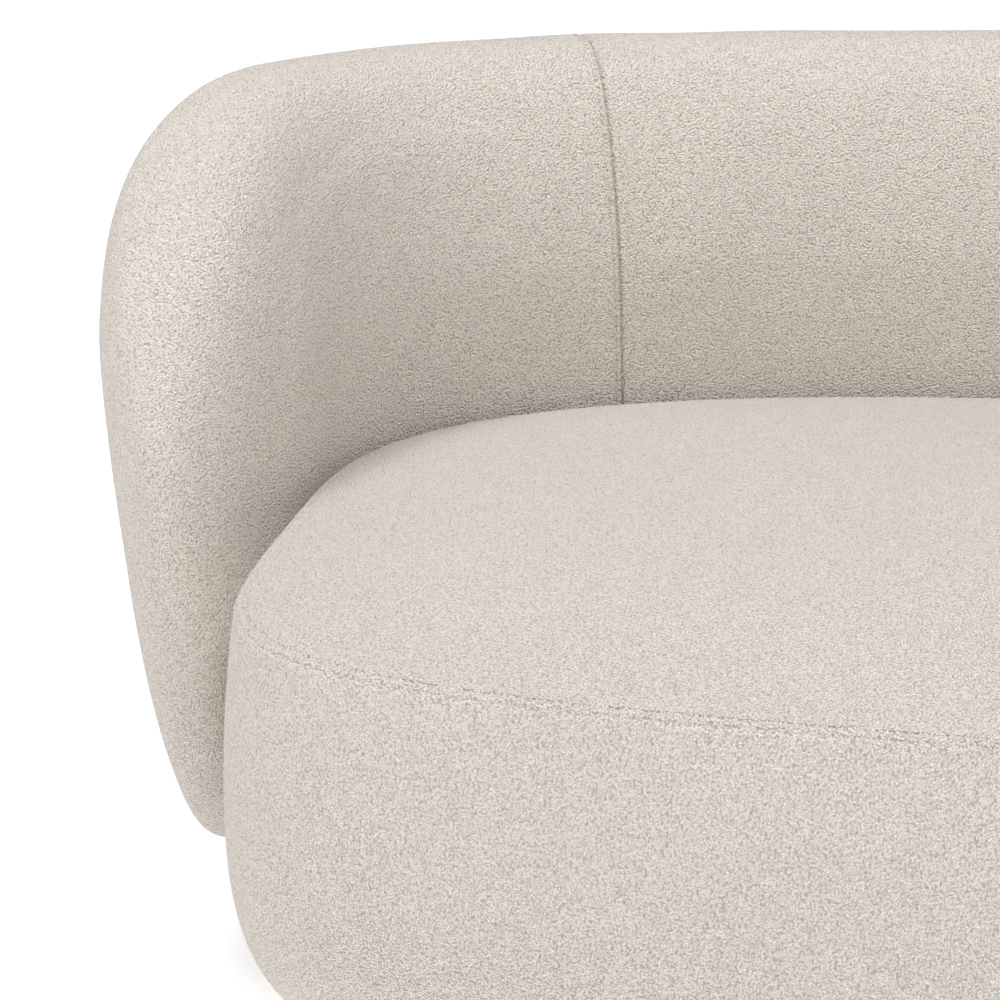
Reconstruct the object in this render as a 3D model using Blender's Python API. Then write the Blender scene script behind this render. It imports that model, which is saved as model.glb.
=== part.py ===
"""A curved sofa: a thick pebble seat held in a wrap-around upholstered back, on turned wooden legs.

Units are metres and +Z is up. The origin is on the floor under the middle of the sofa, and the
sofa faces -Y. The left half (-X) is worked out and the right half is its mirror.
"""
import math

import bmesh
import bpy
import numpy as np
from mathutils import Matrix, Vector

# Overall sizes
OVERALL_WIDTH = 2.171
OVERALL_DEPTH = 1.047
OVERALL_HEIGHT = 0.736
UNDERSIDE_HEIGHT = 0.110        # floor to the underside of the upholstery

# Seat, in plan: two half outlines that share the widest line, front and rear
SEAT_FRONT_REACH = 0.426        # widest line to the front edge
SEAT_FRONT_SQUARENESS = 5.3     # 2 is an ellipse, more is squarer
SEAT_REAR_SQUARENESS = 2.66

# Seat, in height above the underside
SEAT_WIDEST_RISE = 0.150
SEAT_SEAM_RISE = 0.305
SEAT_CROWN_RISE = 0.340
SEAT_SEAM_TUCK = 0.011          # how far the seam lies inside the widest line
SEAT_BOTTOM_TUCK = 0.060        # how far the lower edge lies inside the widest line
SEAT_BOTTOM_ROUND = 2.3
SEAT_CROWN_ROUND = 2.2
SEAT_CROWN_SHARE = 0.96         # share of the front reach where the crown turns flat
SEAT_CROWN_GATHER = 1.2         # above 1, the crown's rings stand closer together near the seam

# Back and arms: one closed section carried round the seat
BACK_THICKNESS = 0.182
BACK_FOOT_THICKNESS = 0.108
BACK_WIDENS_OVER = 0.435        # height over which the foot widens to the full thickness
BACK_LEAN = 0.056               # inward shift for each metre below the top
BACK_SECTION_SQUARENESS = 2.8
BACK_TO_SEAT_CLEARANCE = 0.004
ARM_STRAIGHT_RUN = 0.083        # straight run of each arm in front of the widest line
ARM_COVER_LENGTH = 0.631        # nose to vertical seam, along the path
NOSE_RISE = 0.312               # height of the nose's foremost point above the underside
NOSE_TOP_LENGTH = 0.312         # run over which the top edge falls to the nose
NOSE_FOOT_LENGTH = 0.100
NOSE_SIDE_LENGTH = 0.180
NOSE_ROUND = 2.24
NOSE_SIDE_ROUND = 2.0

# Upholstery layers
COVER = 0.0025
WADDING = 0.012
BACK_FOAM = 0.032
COVER_RETURN = 0.035            # turned in under the frame and stapled
DUST_COVER = 0.0012
WEBBING_WIDTH = 0.070
WEBBING = 0.0020
GAP = 0.0004                    # between pieces that touch on the real sofa
SEAM_GAP = 0.0005

# Seat frame
FRAME_HEIGHT = 0.165
PLYWOOD = 0.018
RING_WIDTH = 0.082
RING_INSET = 0.072              # widest line to the frame's outer edge
SIDE_PANEL = 0.004
SIDE_PANEL_JOINT = 0.003
POST_WIDTH = 0.050
POST_DEPTH_SHARE = 0.50         # of the ring's depth from front to rear where the post stands
CROSS_RAIL = 0.028
MIDDLE_RAIL = 0.045
CROSS_RAIL_SPACING = 0.420
CROSS_RAIL_CLEARANCE = 0.002    # at each end, inside the rings
CROSS_STRAP_SPACING = 0.420
CROSS_STRAP_OFFSET = 0.210
LONG_STRAP_SPACING = 0.300

# Back frame
BACK_RAIL_LIFT = 0.040
BACK_RAIL_HEIGHT = 0.030
BOTTOM_RAIL_WIDTH = 0.042
TOP_RAIL_WIDTH = 0.072
TOP_RAIL_DROP = 0.105           # top of the back to the top of the top rail
BOTTOM_RAIL_SETBACK = 0.130     # nose to the rail's end
TOP_RAIL_SETBACK = 0.220
UPRIGHT_COUNT = 6
UPRIGHT_WIDTH = 0.045
UPRIGHT_THICKNESS = 0.026

# Legs
LEG_TOP_RADIUS = 0.030
LEG_FOOT_RADIUS = 0.019
LEG_EDGE = 0.003
FRONT_LEG_SPACING = 1.440
REAR_LEG_SPACING = 1.240
LEG_PLATE_RADIUS = 0.036
LEG_PLATE = 0.003
BOLT_RADIUS = 0.004
BOLT_HOLE_CLEARANCE = 0.0005
BOLT_IN_LEG = 0.030
BOLT_IN_FRAME = 0.014
GLIDE_RADIUS = 0.013
GLIDE = 0.004
GLIDE_CHAMFER = 0.001

# Joining plates under the seat and the back
JOINING_PLATE_WIDTH = 0.040
JOINING_PLATE = 0.004
JOINING_PLATE_GRIP = 0.040      # how far the inner end reaches past the seat's lower edge
JOINING_PLATE_HEEL = 0.012      # how far the outer end reaches past the middle of the back's foot
JOINING_PLATE_SIDE_SHARE = 0.66     # share of the half path where the side plates stand

# Facets
AROUND_SEAT = 40
AROUND_SECTION = 18
FACET_LENGTH = 0.095            # longest facet along the arms and the back
RAIL_FACET_LENGTH = 0.160
BOTTOM_ROUND_STEPS = 5
CROWN_STEPS = 4
TURNED_STEPS = 16
PATH_SAMPLES = 4000
PATH_STEPS = 400
HEIGHT_SAMPLES = 60
TURN_SAMPLES = 181
SMOOTH_SHEET = math.radians(40)     # edges sharper than this stay sharp
SMOOTH_TURNED = math.radians(35)
SMOOTH_BENT_BOARD = math.radians(30)

# Worked-out places
BACK_HEIGHT = OVERALL_HEIGHT - UNDERSIDE_HEIGHT
SEAM_Z = UNDERSIDE_HEIGHT + SEAT_SEAM_RISE
CROWN_Z = UNDERSIDE_HEIGHT + SEAT_CROWN_RISE
WIDEST_Z = UNDERSIDE_HEIGHT + SEAT_WIDEST_RISE
WIDEST_Y = SEAT_FRONT_REACH - OVERALL_DEPTH / 2
FRAME_Z = UNDERSIDE_HEIGHT + COVER + GAP
FRAME_TOP_Z = FRAME_Z + FRAME_HEIGHT
CROSS_STRAP_Z = FRAME_TOP_Z + GAP
LONG_STRAP_Z = CROSS_STRAP_Z + WEBBING + GAP
FOAM_Z = LONG_STRAP_Z + WEBBING + GAP
RING_INNER_INSET = RING_INSET + RING_WIDTH
RING_MIDDLE_INSET = RING_INSET + RING_WIDTH / 2
PLATE_Z = UNDERSIDE_HEIGHT - GAP - LEG_PLATE
LEG_TOP_Z = PLATE_Z - GAP
LEG_FOOT_Z = GLIDE + GAP
BOTTOM_RAIL_Z = UNDERSIDE_HEIGHT + BACK_RAIL_LIFT
TOP_RAIL_Z = OVERALL_HEIGHT - TOP_RAIL_DROP - BACK_RAIL_HEIGHT


def power(value, exponent):
    """A power that keeps the sign, as a superellipse needs."""
    return math.copysign(abs(value) ** exponent, value)


def material(name, colour, roughness, metallic=0.0):
    """A plain finish for one kind of part."""
    mat = bpy.data.materials.new(name)
    mat.use_nodes = True
    shader = mat.node_tree.nodes["Principled BSDF"]
    shader.inputs["Base Color"].default_value = (*colour, 1.0)
    shader.inputs["Roughness"].default_value = roughness
    shader.inputs["Metallic"].default_value = metallic
    mat.diffuse_color = (*colour, 1.0)
    return mat


def finishes():
    """Every finish on the sofa, by a maker's name."""
    return {
        "boucle": material("boucle", (0.66, 0.60, 0.53), 0.95),
        "foam": material("foam", (0.86, 0.80, 0.62), 0.90),
        "wadding": material("wadding", (0.90, 0.90, 0.88), 0.95),
        "webbing": material("webbing", (0.32, 0.27, 0.20), 0.85),
        "dust_cloth": material("dust_cloth", (0.03, 0.03, 0.03), 0.90),
        "plywood": material("plywood", (0.62, 0.46, 0.28), 0.65),
        "pine": material("pine", (0.72, 0.55, 0.34), 0.65),
        "panel": material("panel", (0.38, 0.25, 0.14), 0.75),
        "oak": material("oak", (0.42, 0.25, 0.12), 0.45),
        "steel": material("steel", (0.55, 0.55, 0.56), 0.35, 1.0),
        "glide": material("glide", (0.05, 0.05, 0.05), 0.60),
    }


def finish_mesh(name, bm, mat, smooth_angle=None):
    """Turn the bmesh's faces outwards and make it one named object."""
    bm.normal_update()
    bmesh.ops.recalc_face_normals(bm, faces=bm.faces[:])
    mesh = bpy.data.meshes.new(name)
    bm.to_mesh(mesh)
    bm.free()
    mesh.materials.append(mat)
    if smooth_angle is not None:
        mesh.shade_smooth()
        mesh.set_sharp_from_angle(angle=smooth_angle)
    obj = bpy.data.objects.new(name, mesh)
    bpy.context.collection.objects.link(obj)
    return obj


def bent_grid(across, along, place, folded_back=range(0)):
    """A sheet of triangles whose corner (i, j) is moved to place(i, j); corners that meet are merged.

    The rows in folded_back run the other way, so their diagonals are turned to match the other rows:
    two skins that lie a little apart then have the same facets, and never cut each other.
    """
    bm = bmesh.new()
    bmesh.ops.create_grid(bm, x_segments=across, y_segments=along, size=1.0)
    rows = {face: int((face.calc_center_median().y + 1) / 2 * along) for face in bm.faces}
    forward = [face for face, row in rows.items() if row not in folded_back]
    backward = [face for face, row in rows.items() if row in folded_back]
    bmesh.ops.triangulate(bm, faces=forward, quad_method="FIXED")
    bmesh.ops.triangulate(bm, faces=backward, quad_method="ALTERNATE")
    for vert in bm.verts:
        i = round((vert.co.x + 1) / 2 * across)
        j = round((vert.co.y + 1) / 2 * along)
        vert.co = place(i, j)
    bmesh.ops.remove_doubles(bm, verts=bm.verts[:], dist=1e-6)
    return bm


# ------------------------------------------------------------------ seat outline and profile

def bottom_inset(z):
    """How far the lower side of the seat lies inside its widest line at height z."""
    drop = (WIDEST_Z - z) / (WIDEST_Z - UNDERSIDE_HEIGHT)
    cosine = min(max(drop, 0.0), 1.0) ** (SEAT_BOTTOM_ROUND / 2)
    sine = math.sqrt(1 - cosine ** 2)
    return SEAT_BOTTOM_TUCK * (1 - sine ** (2 / SEAT_BOTTOM_ROUND))


def side_inset(z):
    """How far the seat's side lies inside its widest line, from the underside to the seam."""
    if z < WIDEST_Z:
        return bottom_inset(z)
    return SEAT_SEAM_TUCK * ((z - WIDEST_Z) / (SEAM_Z - WIDEST_Z)) ** 2


def back_half_thickness(z):
    """Half the back's thickness at height z, before its section rounds off."""
    share = min((z - UNDERSIDE_HEIGHT) / BACK_WIDENS_OVER, 1.0)
    return (BACK_FOOT_THICKNESS + (BACK_THICKNESS - BACK_FOOT_THICKNESS) * share) / 2


def back_shift(z):
    """How far the back's middle leans out at height z; below the top it is negative, towards the seat."""
    return BACK_LEAN * (z - OVERALL_HEIGHT)


def path_offset():
    """Seat outline to the middle of the back, so that the back clears the seat at every height."""
    heights = np.linspace(UNDERSIDE_HEIGHT + SEAT_BOTTOM_TUCK / 2, SEAM_Z, HEIGHT_SAMPLES)
    reach = [back_half_thickness(z) - back_shift(z) - side_inset(z) for z in heights]
    return max(reach) + BACK_TO_SEAT_CLEARANCE


def outer_reach():
    """Middle of the back to the outermost point of its rounded, leaning section."""
    turns = np.linspace(-math.pi / 2, math.pi / 2, TURN_SAMPLES)
    middle = (OVERALL_HEIGHT + UNDERSIDE_HEIGHT) / 2
    reach = []
    for turn in turns:
        z = middle + BACK_HEIGHT / 2 * power(math.sin(turn), 2 / BACK_SECTION_SQUARENESS)
        sideways = max(math.cos(turn), 0.0) ** (2 / BACK_SECTION_SQUARENESS)
        reach.append(back_half_thickness(z) * sideways + back_shift(z))
    return max(reach)


PATH_OFFSET = path_offset()
SEAT_HALF_WIDTH = OVERALL_WIDTH / 2 - outer_reach() - PATH_OFFSET
SEAT_REAR_REACH = OVERALL_DEPTH - SEAT_FRONT_REACH - outer_reach() - PATH_OFFSET


def outline(angle, inset):
    """A point of the seat's outline in plan; angle 0 is +X, a half turn is -X, and the rear is between."""
    front = SEAT_FRONT_REACH - inset
    rear = SEAT_REAR_REACH * front / SEAT_FRONT_REACH
    squareness = SEAT_REAR_SQUARENESS if math.sin(angle) > 0 else SEAT_FRONT_SQUARENESS
    reach = rear if math.sin(angle) > 0 else front
    x = (SEAT_HALF_WIDTH - inset) * power(math.cos(angle), 2 / squareness)
    y = reach * power(math.sin(angle), 2 / squareness)
    return Vector((x, WIDEST_Y + y, 0.0))


def outline_y(x, inset, side):
    """Where the outline lies at x: side -1 for the front, 1 for the rear."""
    front = SEAT_FRONT_REACH - inset
    rear = SEAT_REAR_REACH * front / SEAT_FRONT_REACH
    reach, squareness = (rear, SEAT_REAR_SQUARENESS) if side > 0 else (front, SEAT_FRONT_SQUARENESS)
    share = abs(x) / (SEAT_HALF_WIDTH - inset)
    return WIDEST_Y + side * reach * (1 - share ** squareness) ** (1 / squareness)


def outline_x(y, inset):
    """Half the outline's width at y."""
    front = SEAT_FRONT_REACH - inset
    rear = SEAT_REAR_REACH * front / SEAT_FRONT_REACH
    reach, squareness = (rear, SEAT_REAR_SQUARENESS) if y > WIDEST_Y else (front, SEAT_FRONT_SQUARENESS)
    share = abs(y - WIDEST_Y) / reach
    return (SEAT_HALF_WIDTH - inset) * (1 - share ** squareness) ** (1 / squareness)


def side_profile():
    """(inset, z) up the seat's side, from the turned-in edge of the cover to the seam."""
    points = [(SEAT_BOTTOM_TUCK + COVER_RETURN, UNDERSIDE_HEIGHT), (SEAT_BOTTOM_TUCK, UNDERSIDE_HEIGHT)]
    for step in range(1, BOTTOM_ROUND_STEPS + 1):
        turn = step / BOTTOM_ROUND_STEPS * math.pi / 2
        drop = power(math.cos(turn), 2 / SEAT_BOTTOM_ROUND)
        z = WIDEST_Z - (WIDEST_Z - UNDERSIDE_HEIGHT) * max(drop, 0.0)
        points.append((side_inset(z), z))
    for z in (FOAM_Z, (FOAM_Z + SEAM_Z) / 2, SEAM_Z):
        points.append((side_inset(z), z))
    return points


def crown_profile():
    """(inset, z) from the seam in over the crown, without the seam itself."""
    points = []
    crown_run = SEAT_FRONT_REACH * SEAT_CROWN_SHARE - SEAT_SEAM_TUCK
    for step in range(1, CROWN_STEPS + 1):
        share = step / CROWN_STEPS
        inset = SEAT_SEAM_TUCK + crown_run * share ** SEAT_CROWN_GATHER
        z = SEAM_Z + (CROWN_Z - SEAM_Z) * (1 - (1 - share) ** SEAT_CROWN_ROUND)
        points.append((inset, z))
    return points


def inwards(points, depth):
    """The profile moved into the seat by depth, square to itself."""
    moved = []
    last = len(points) - 1
    for index, (inset, z) in enumerate(points):
        before = points[max(index - 1, 0)]
        after = points[min(index + 1, last)]
        run = Vector((after[0] - before[0], after[1] - before[1])).normalized()
        moved.append((inset + run.y * depth, z - run.x * depth))
    return moved


def swept_round_seat(section, closed_section, folded_back=range(0),
                     start=0.0, turn=2 * math.pi, steps=AROUND_SEAT):
    """Carry a section of (inset, z) points round the seat's outline."""
    points = section + section[:1] if closed_section else section

    def place(i, j):
        inset, z = points[j]
        step = i % steps if turn == 2 * math.pi else i
        return outline(start + turn * step / steps, inset) + Vector((0, 0, z))

    return bent_grid(steps, len(points) - 1, place, folded_back)


def fill_ends(bm):
    """Close every open rim with a flat face."""
    rims = [edge for edge in bm.edges if edge.is_boundary]
    bmesh.ops.holes_fill(bm, edges=rims, sides=0)


# ------------------------------------------------------------------ seat upholstery

def layer(points, depth):
    """The profile at a depth, with its lower edge kept level with the first point."""
    moved = inwards(points, depth)
    moved[0] = (moved[0][0], points[0][1])
    return moved


def seat_shell(name, points, depth, thickness, mat):
    """A layer over the crown: the profile at two depths, joined at its lower edge."""
    outer = layer(points, depth)
    inner = layer(points, depth + thickness)
    bm = swept_round_seat(outer[::-1] + inner, closed_section=False, folded_back=range(len(outer)))
    fill_ends(bm)
    return finish_mesh(name, bm, mat, SMOOTH_SHEET)


def seat_top_cover(mat):
    profile = [side_profile()[-1]] + crown_profile()
    profile[0] = (profile[0][0], profile[0][1] + SEAM_GAP / 2)
    return seat_shell("seat_top_cover", profile, 0.0, COVER, mat)


def seat_border_cover(mat):
    outer = (side_profile() + crown_profile()[:1])
    inner = inwards(outer, COVER)[:-1]
    outer = outer[:-1]
    outer[-1] = (outer[-1][0], outer[-1][1] - SEAM_GAP / 2)
    inner[-1] = (inner[-1][0], inner[-1][1] - SEAM_GAP / 2)
    inner[0] = (outer[0][0], UNDERSIDE_HEIGHT + COVER)
    inside = range(len(outer), len(outer) + len(inner))
    bm = swept_round_seat(outer + inner[::-1], closed_section=True, folded_back=inside)
    return finish_mesh("seat_border_cover", bm, mat, SMOOTH_SHEET)


def over_foam_profile():
    """The seat's profile from the bottom of the foam block to the crown."""
    return [point for point in side_profile() if point[1] > FOAM_Z - GAP] + crown_profile()


def seat_wadding(mat):
    profile = over_foam_profile()
    return seat_shell("seat_wadding", profile, COVER + GAP, WADDING, mat)


def seat_foam(mat):
    profile = layer(over_foam_profile(), COVER + WADDING + 2 * GAP)
    bm = swept_round_seat(profile, closed_section=False)
    fill_ends(bm)
    return finish_mesh("seat_foam", bm, mat, SMOOTH_SHEET)


def border_foam(mat):
    """The pad round the seat frame, straight on its inner side."""
    profile = side_profile()
    outer = [point for point in inwards(profile, COVER + GAP)[1:] if point[1] < FOAM_Z - GAP]
    inner_inset = RING_INSET - SIDE_PANEL - 2 * GAP
    section = outer + [(outer[-1][0], FOAM_Z - GAP), (inner_inset, FOAM_Z - GAP), (inner_inset, outer[0][1])]
    bm = swept_round_seat(section, closed_section=True)
    return finish_mesh("border_foam", bm, mat, SMOOTH_SHEET)


def dust_cover(mat, cutter):
    inset = SEAT_BOTTOM_TUCK + COVER_RETURN + GAP
    bm = swept_round_seat([(inset, UNDERSIDE_HEIGHT), (inset, UNDERSIDE_HEIGHT + DUST_COVER)], False)
    fill_ends(bm)
    obj = finish_mesh("dust_cover", bm, mat)
    cut(obj, cutter)
    return obj


# ------------------------------------------------------------------ seat frame

def box(name, low, high, mat):
    """A plain board or strap between two corners."""
    bm = bmesh.new()
    bmesh.ops.create_cube(bm, size=1.0)
    size = Vector(high) - Vector(low)
    bmesh.ops.scale(bm, vec=size, verts=bm.verts[:])
    bmesh.ops.translate(bm, vec=(Vector(low) + Vector(high)) / 2, verts=bm.verts[:])
    return finish_mesh(name, bm, mat)


def cut(obj, cutter):
    """Take the cutter's shape out of obj."""
    modifier = obj.modifiers.new("cut", "BOOLEAN")
    modifier.operation = "DIFFERENCE"
    modifier.solver = "EXACT"
    modifier.object = cutter


def seat_ring(name, z, mat):
    section = [(RING_INSET, z), (RING_INSET, z + PLYWOOD),
               (RING_INNER_INSET, z + PLYWOOD), (RING_INNER_INSET, z)]
    return finish_mesh(name, swept_round_seat(section, closed_section=True), mat, SMOOTH_BENT_BOARD)


def side_panel(name, start, mat):
    """Half of the thin board bent round the frame; the joints stand at the two ends of the seat."""
    outer_inset = RING_INSET - GAP - SIDE_PANEL
    inner_inset = RING_INSET - GAP
    section = [(outer_inset, FRAME_Z), (outer_inset, FRAME_TOP_Z),
               (inner_inset, FRAME_TOP_Z), (inner_inset, FRAME_Z)]
    steps = AROUND_SEAT // 2
    bm = swept_round_seat(section, True, start=start, turn=math.pi, steps=steps)
    for vert in bm.verts:
        side = 1 if start == 0.0 else -1
        limit = WIDEST_Y + side * SIDE_PANEL_JOINT / 2
        vert.co.y = max(vert.co.y, limit) if side > 0 else min(vert.co.y, limit)
    fill_ends(bm)
    return finish_mesh(name, bm, mat, SMOOTH_BENT_BOARD)


def leg_places():
    """Name and place of each leg: four on the ring's middle line and one under the middle rail."""
    front = FRONT_LEG_SPACING / 2
    rear = REAR_LEG_SPACING / 2
    front_y = outline_y(front, RING_MIDDLE_INSET, -1)
    rear_y = outline_y(rear, RING_MIDDLE_INSET, 1)
    return {
        "front_left": (-front, front_y),
        "front_right": (front, front_y),
        "rear_left": (-rear, rear_y),
        "rear_right": (rear, rear_y),
        "middle": (0.0, (front_y + rear_y) / 2),
    }


def seat_posts(mat):
    """A post between the two rings over each corner leg."""
    half = POST_WIDTH / 2
    low_z = FRAME_Z + PLYWOOD + GAP
    high_z = FRAME_TOP_Z - PLYWOOD - GAP
    for name, (x, y) in leg_places().items():
        if name != "middle":
            side = 1 if y > WIDEST_Y else -1
            ring_depth = abs(outline_y(x, RING_INSET, side) - outline_y(x, RING_INNER_INSET, side))
            half_depth = POST_DEPTH_SHARE * ring_depth / 2
            box("seat_post_" + name, (x - half, y - half_depth, low_z), (x + half, y + half_depth, high_z), mat)


def cross_rails(mat, cutter):
    """Boards on edge from the front of the rings to their rear; the middle one takes a leg."""
    places = {"left": -CROSS_RAIL_SPACING, "middle": 0.0, "right": CROSS_RAIL_SPACING}
    for name, x in places.items():
        half = (MIDDLE_RAIL if name == "middle" else CROSS_RAIL) / 2
        far = abs(x) + half
        front = outline_y(far, RING_INNER_INSET, -1) + CROSS_RAIL_CLEARANCE
        rear = outline_y(far, RING_INNER_INSET, 1) - CROSS_RAIL_CLEARANCE
        rail = box("cross_rail_" + name, (x - half, front, FRAME_Z), (x + half, rear, FRAME_TOP_Z), mat)
        if name == "middle":
            cut(rail, cutter)


def webbing(mat):
    """Straps across the top ring, and straps along the sofa over them."""
    half = WEBBING_WIDTH / 2
    inset = RING_INSET + GAP
    places = {"left": -CROSS_STRAP_SPACING - CROSS_STRAP_OFFSET, "middle_left": -CROSS_STRAP_OFFSET,
              "middle_right": CROSS_STRAP_OFFSET, "right": CROSS_STRAP_SPACING + CROSS_STRAP_OFFSET}
    for name, x in places.items():
        far = abs(x) + half
        low = (x - half, outline_y(far, inset, -1), CROSS_STRAP_Z)
        high = (x + half, outline_y(far, inset, 1), CROSS_STRAP_Z + WEBBING)
        box("cross_strap_" + name, low, high, mat)
    for name, side in {"front": -1, "rear": 1}.items():
        y = WIDEST_Y + side * LONG_STRAP_SPACING / 2
        reach = outline_x(y + side * half, inset)
        low = (-reach, y - half, LONG_STRAP_Z)
        high = (reach, y + half, LONG_STRAP_Z + WEBBING)
        box("long_strap_" + name, low, high, mat)


# ------------------------------------------------------------------ path of the back

def back_path():
    """Samples (distance, x, y, outward x, outward y) from the rear's middle round to the left nose."""
    angles = np.linspace(math.pi / 2, math.pi, PATH_SAMPLES)
    points = np.array([outline(angle, 0.0)[:2] for angle in angles])
    points[-1] = (-SEAT_HALF_WIDTH, WIDEST_Y)
    lengths = np.concatenate([[0], np.cumsum(np.hypot(*np.diff(points, axis=0).T))])
    even = np.linspace(0, lengths[-1], PATH_STEPS)
    points = np.stack([np.interp(even, lengths, points[:, k]) for k in (0, 1)], 1)
    run = np.gradient(points, axis=0)
    run /= np.hypot(run[:, 0], run[:, 1])[:, None]
    run[0] = (-1.0, 0.0)
    run[-1] = (0.0, -1.0)
    outward = np.stack([run[:, 1], -run[:, 0]], 1)
    points = points + outward * PATH_OFFSET
    points = np.vstack([points, points[-1] - (0.0, ARM_STRAIGHT_RUN)])
    outward = np.vstack([outward, outward[-1]])
    lengths = np.concatenate([[0], np.cumsum(np.hypot(*np.diff(points, axis=0).T))])
    return lengths, points, outward


PATH_LENGTHS, PATH_POINTS, PATH_OUTWARD = back_path()
HALF_PATH = float(PATH_LENGTHS[-1])


def path_point(distance):
    """Place and outward direction at a distance from the rear's middle: - is left, + is right."""
    at = min(abs(distance), HALF_PATH)
    x, y = (float(np.interp(at, PATH_LENGTHS, PATH_POINTS[:, k])) for k in (0, 1))
    out_x, out_y = (float(np.interp(at, PATH_LENGTHS, PATH_OUTWARD[:, k])) for k in (0, 1))
    side = 1 if distance > 0 else -1
    return Vector((-side * x, y, 0.0)), Vector((-side * out_x, out_y, 0.0)).normalized()


def rounding(to_nose, length, squareness):
    """Falls from 1 to 0 over the last length before the nose, on a rounded curve."""
    share = 1 - min(max(to_nose / length, 0.0), 1.0)
    return (1 - share ** squareness) ** (1 / squareness)


def back_point(distance, turn, depth):
    """A point of the back's section at a distance along the path, depth inside the outer surface."""
    half_path = HALF_PATH - depth
    distance = math.copysign(min(abs(distance), HALF_PATH) * half_path / HALF_PATH, distance)
    to_nose = half_path - abs(distance)
    nose_z = UNDERSIDE_HEIGHT + NOSE_RISE
    top_share = rounding(to_nose, NOSE_TOP_LENGTH - depth, NOSE_ROUND)
    foot_share = rounding(to_nose, NOSE_FOOT_LENGTH - depth, NOSE_ROUND)
    top = nose_z + (OVERALL_HEIGHT - depth - nose_z) * top_share
    foot = nose_z + (UNDERSIDE_HEIGHT + depth - nose_z) * foot_share
    sideways = power(math.cos(turn), 2 / BACK_SECTION_SQUARENESS)
    upwards = power(math.sin(turn), 2 / BACK_SECTION_SQUARENESS)
    z = (top + foot) / 2 + (top - foot) / 2 * upwards
    side_share = rounding(to_nose, NOSE_SIDE_LENGTH - depth, NOSE_SIDE_ROUND)
    half = (back_half_thickness(z) - depth) * side_share
    place, outward = path_point(distance)
    return place + outward * (half * sideways + back_shift(z)) + Vector((0, 0, z))


def arm_stations(side):
    """Distances along one arm, close together at the nose."""
    count = math.ceil(math.pi / 2 * ARM_COVER_LENGTH / FACET_LENGTH)
    steps = [1 - math.cos(math.pi / 2 * k / count) for k in range(count + 1)]
    return [side * (HALF_PATH - ARM_COVER_LENGTH * step) for step in steps]


def sleeve(stations, depth, thickness, closed_nose):
    """A wall of the given thickness round the back's section; both its skins share their corners' lines."""
    rows = [(distance, depth) for distance in stations]
    rows += [(distance, depth + thickness) for distance in reversed(stations)]
    if not closed_nose:
        rows.append(rows[0])

    def place(i, j):
        distance, layer = rows[j]
        return back_point(distance, 2 * math.pi * (i % AROUND_SECTION) / AROUND_SECTION, layer)

    return bent_grid(AROUND_SECTION, len(rows) - 1, place, range(len(stations), 2 * len(stations)))


def seam_trimmed(stations):
    """Hold the seam end back by half the seam gap."""
    end = stations[-1]
    return stations[:-1] + [math.copysign(abs(end) + SEAM_GAP / 2, end)]


def back_stations():
    """Distances between the two vertical seams."""
    reach = HALF_PATH - ARM_COVER_LENGTH - SEAM_GAP / 2
    count = math.ceil(2 * reach / FACET_LENGTH)
    return [reach * (2 * k / count - 1) for k in range(count + 1)]


def back_covers(mat):
    for name, side in {"left": -1, "right": 1}.items():
        bm = sleeve(seam_trimmed(arm_stations(side)), 0.0, COVER, closed_nose=True)
        finish_mesh("arm_cover_" + name, bm, mat, SMOOTH_SHEET)
    bm = sleeve(back_stations(), 0.0, COVER, closed_nose=False)
    finish_mesh("back_cover", bm, mat, SMOOTH_SHEET)


def open_foot(bm):
    """Cut a foam sleeve off level above the bottom rail, and close the cut."""
    level = Vector((0, 0, BOTTOM_RAIL_Z + BACK_RAIL_HEIGHT + GAP))
    everything = bm.verts[:] + bm.edges[:] + bm.faces[:]
    bmesh.ops.bisect_plane(bm, geom=everything, plane_co=level, plane_no=(0, 0, -1), clear_outer=True)
    fill_ends(bm)
    return bm


def back_foams(mat):
    """Foam sleeves under the covers, open at the foot, where the frame goes in."""
    depth = COVER + GAP
    for name, side in {"left": -1, "right": 1}.items():
        bm = open_foot(sleeve(seam_trimmed(arm_stations(side)), depth, BACK_FOAM, closed_nose=True))
        finish_mesh("arm_foam_" + name, bm, mat, SMOOTH_SHEET)
    bm = open_foot(sleeve(back_stations(), depth, BACK_FOAM, closed_nose=False))
    finish_mesh("back_foam", bm, mat, SMOOTH_SHEET)


# ------------------------------------------------------------------ back frame

def back_rail(name, z, width, setback, mat):
    """A plywood horseshoe that follows the path."""
    reach = HALF_PATH - setback
    top_z = z + BACK_RAIL_HEIGHT
    corners = [(-width / 2, z), (width / 2, z), (width / 2, top_z), (-width / 2, top_z)]
    shift = back_shift(z + BACK_RAIL_HEIGHT / 2)
    count = math.ceil(2 * reach / RAIL_FACET_LENGTH)

    def place(i, j):
        across, height = corners[i % 4]
        middle, outward = path_point(reach * (2 * j / count - 1))
        return middle + outward * (across + shift) + Vector((0, 0, height))

    bm = bent_grid(4, count, place)
    fill_ends(bm)
    return finish_mesh(name, bm, mat, SMOOTH_BENT_BOARD)


def upright(name, distance, mat):
    """A board between the two rails, leaning with the back."""
    bm = bmesh.new()
    bmesh.ops.create_cube(bm, size=1.0)
    middle, outward = path_point(distance)
    along = outward.cross(Vector((0, 0, 1)))
    low_z = BOTTOM_RAIL_Z + BACK_RAIL_HEIGHT + GAP
    high_z = TOP_RAIL_Z - GAP
    for vert in bm.verts:
        z = high_z if vert.co.z > 0 else low_z
        sideways = outward * (vert.co.x * UPRIGHT_THICKNESS + back_shift(z))
        vert.co = middle + sideways + along * (vert.co.y * UPRIGHT_WIDTH) + Vector((0, 0, z))
    return finish_mesh(name, bm, mat)


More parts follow.
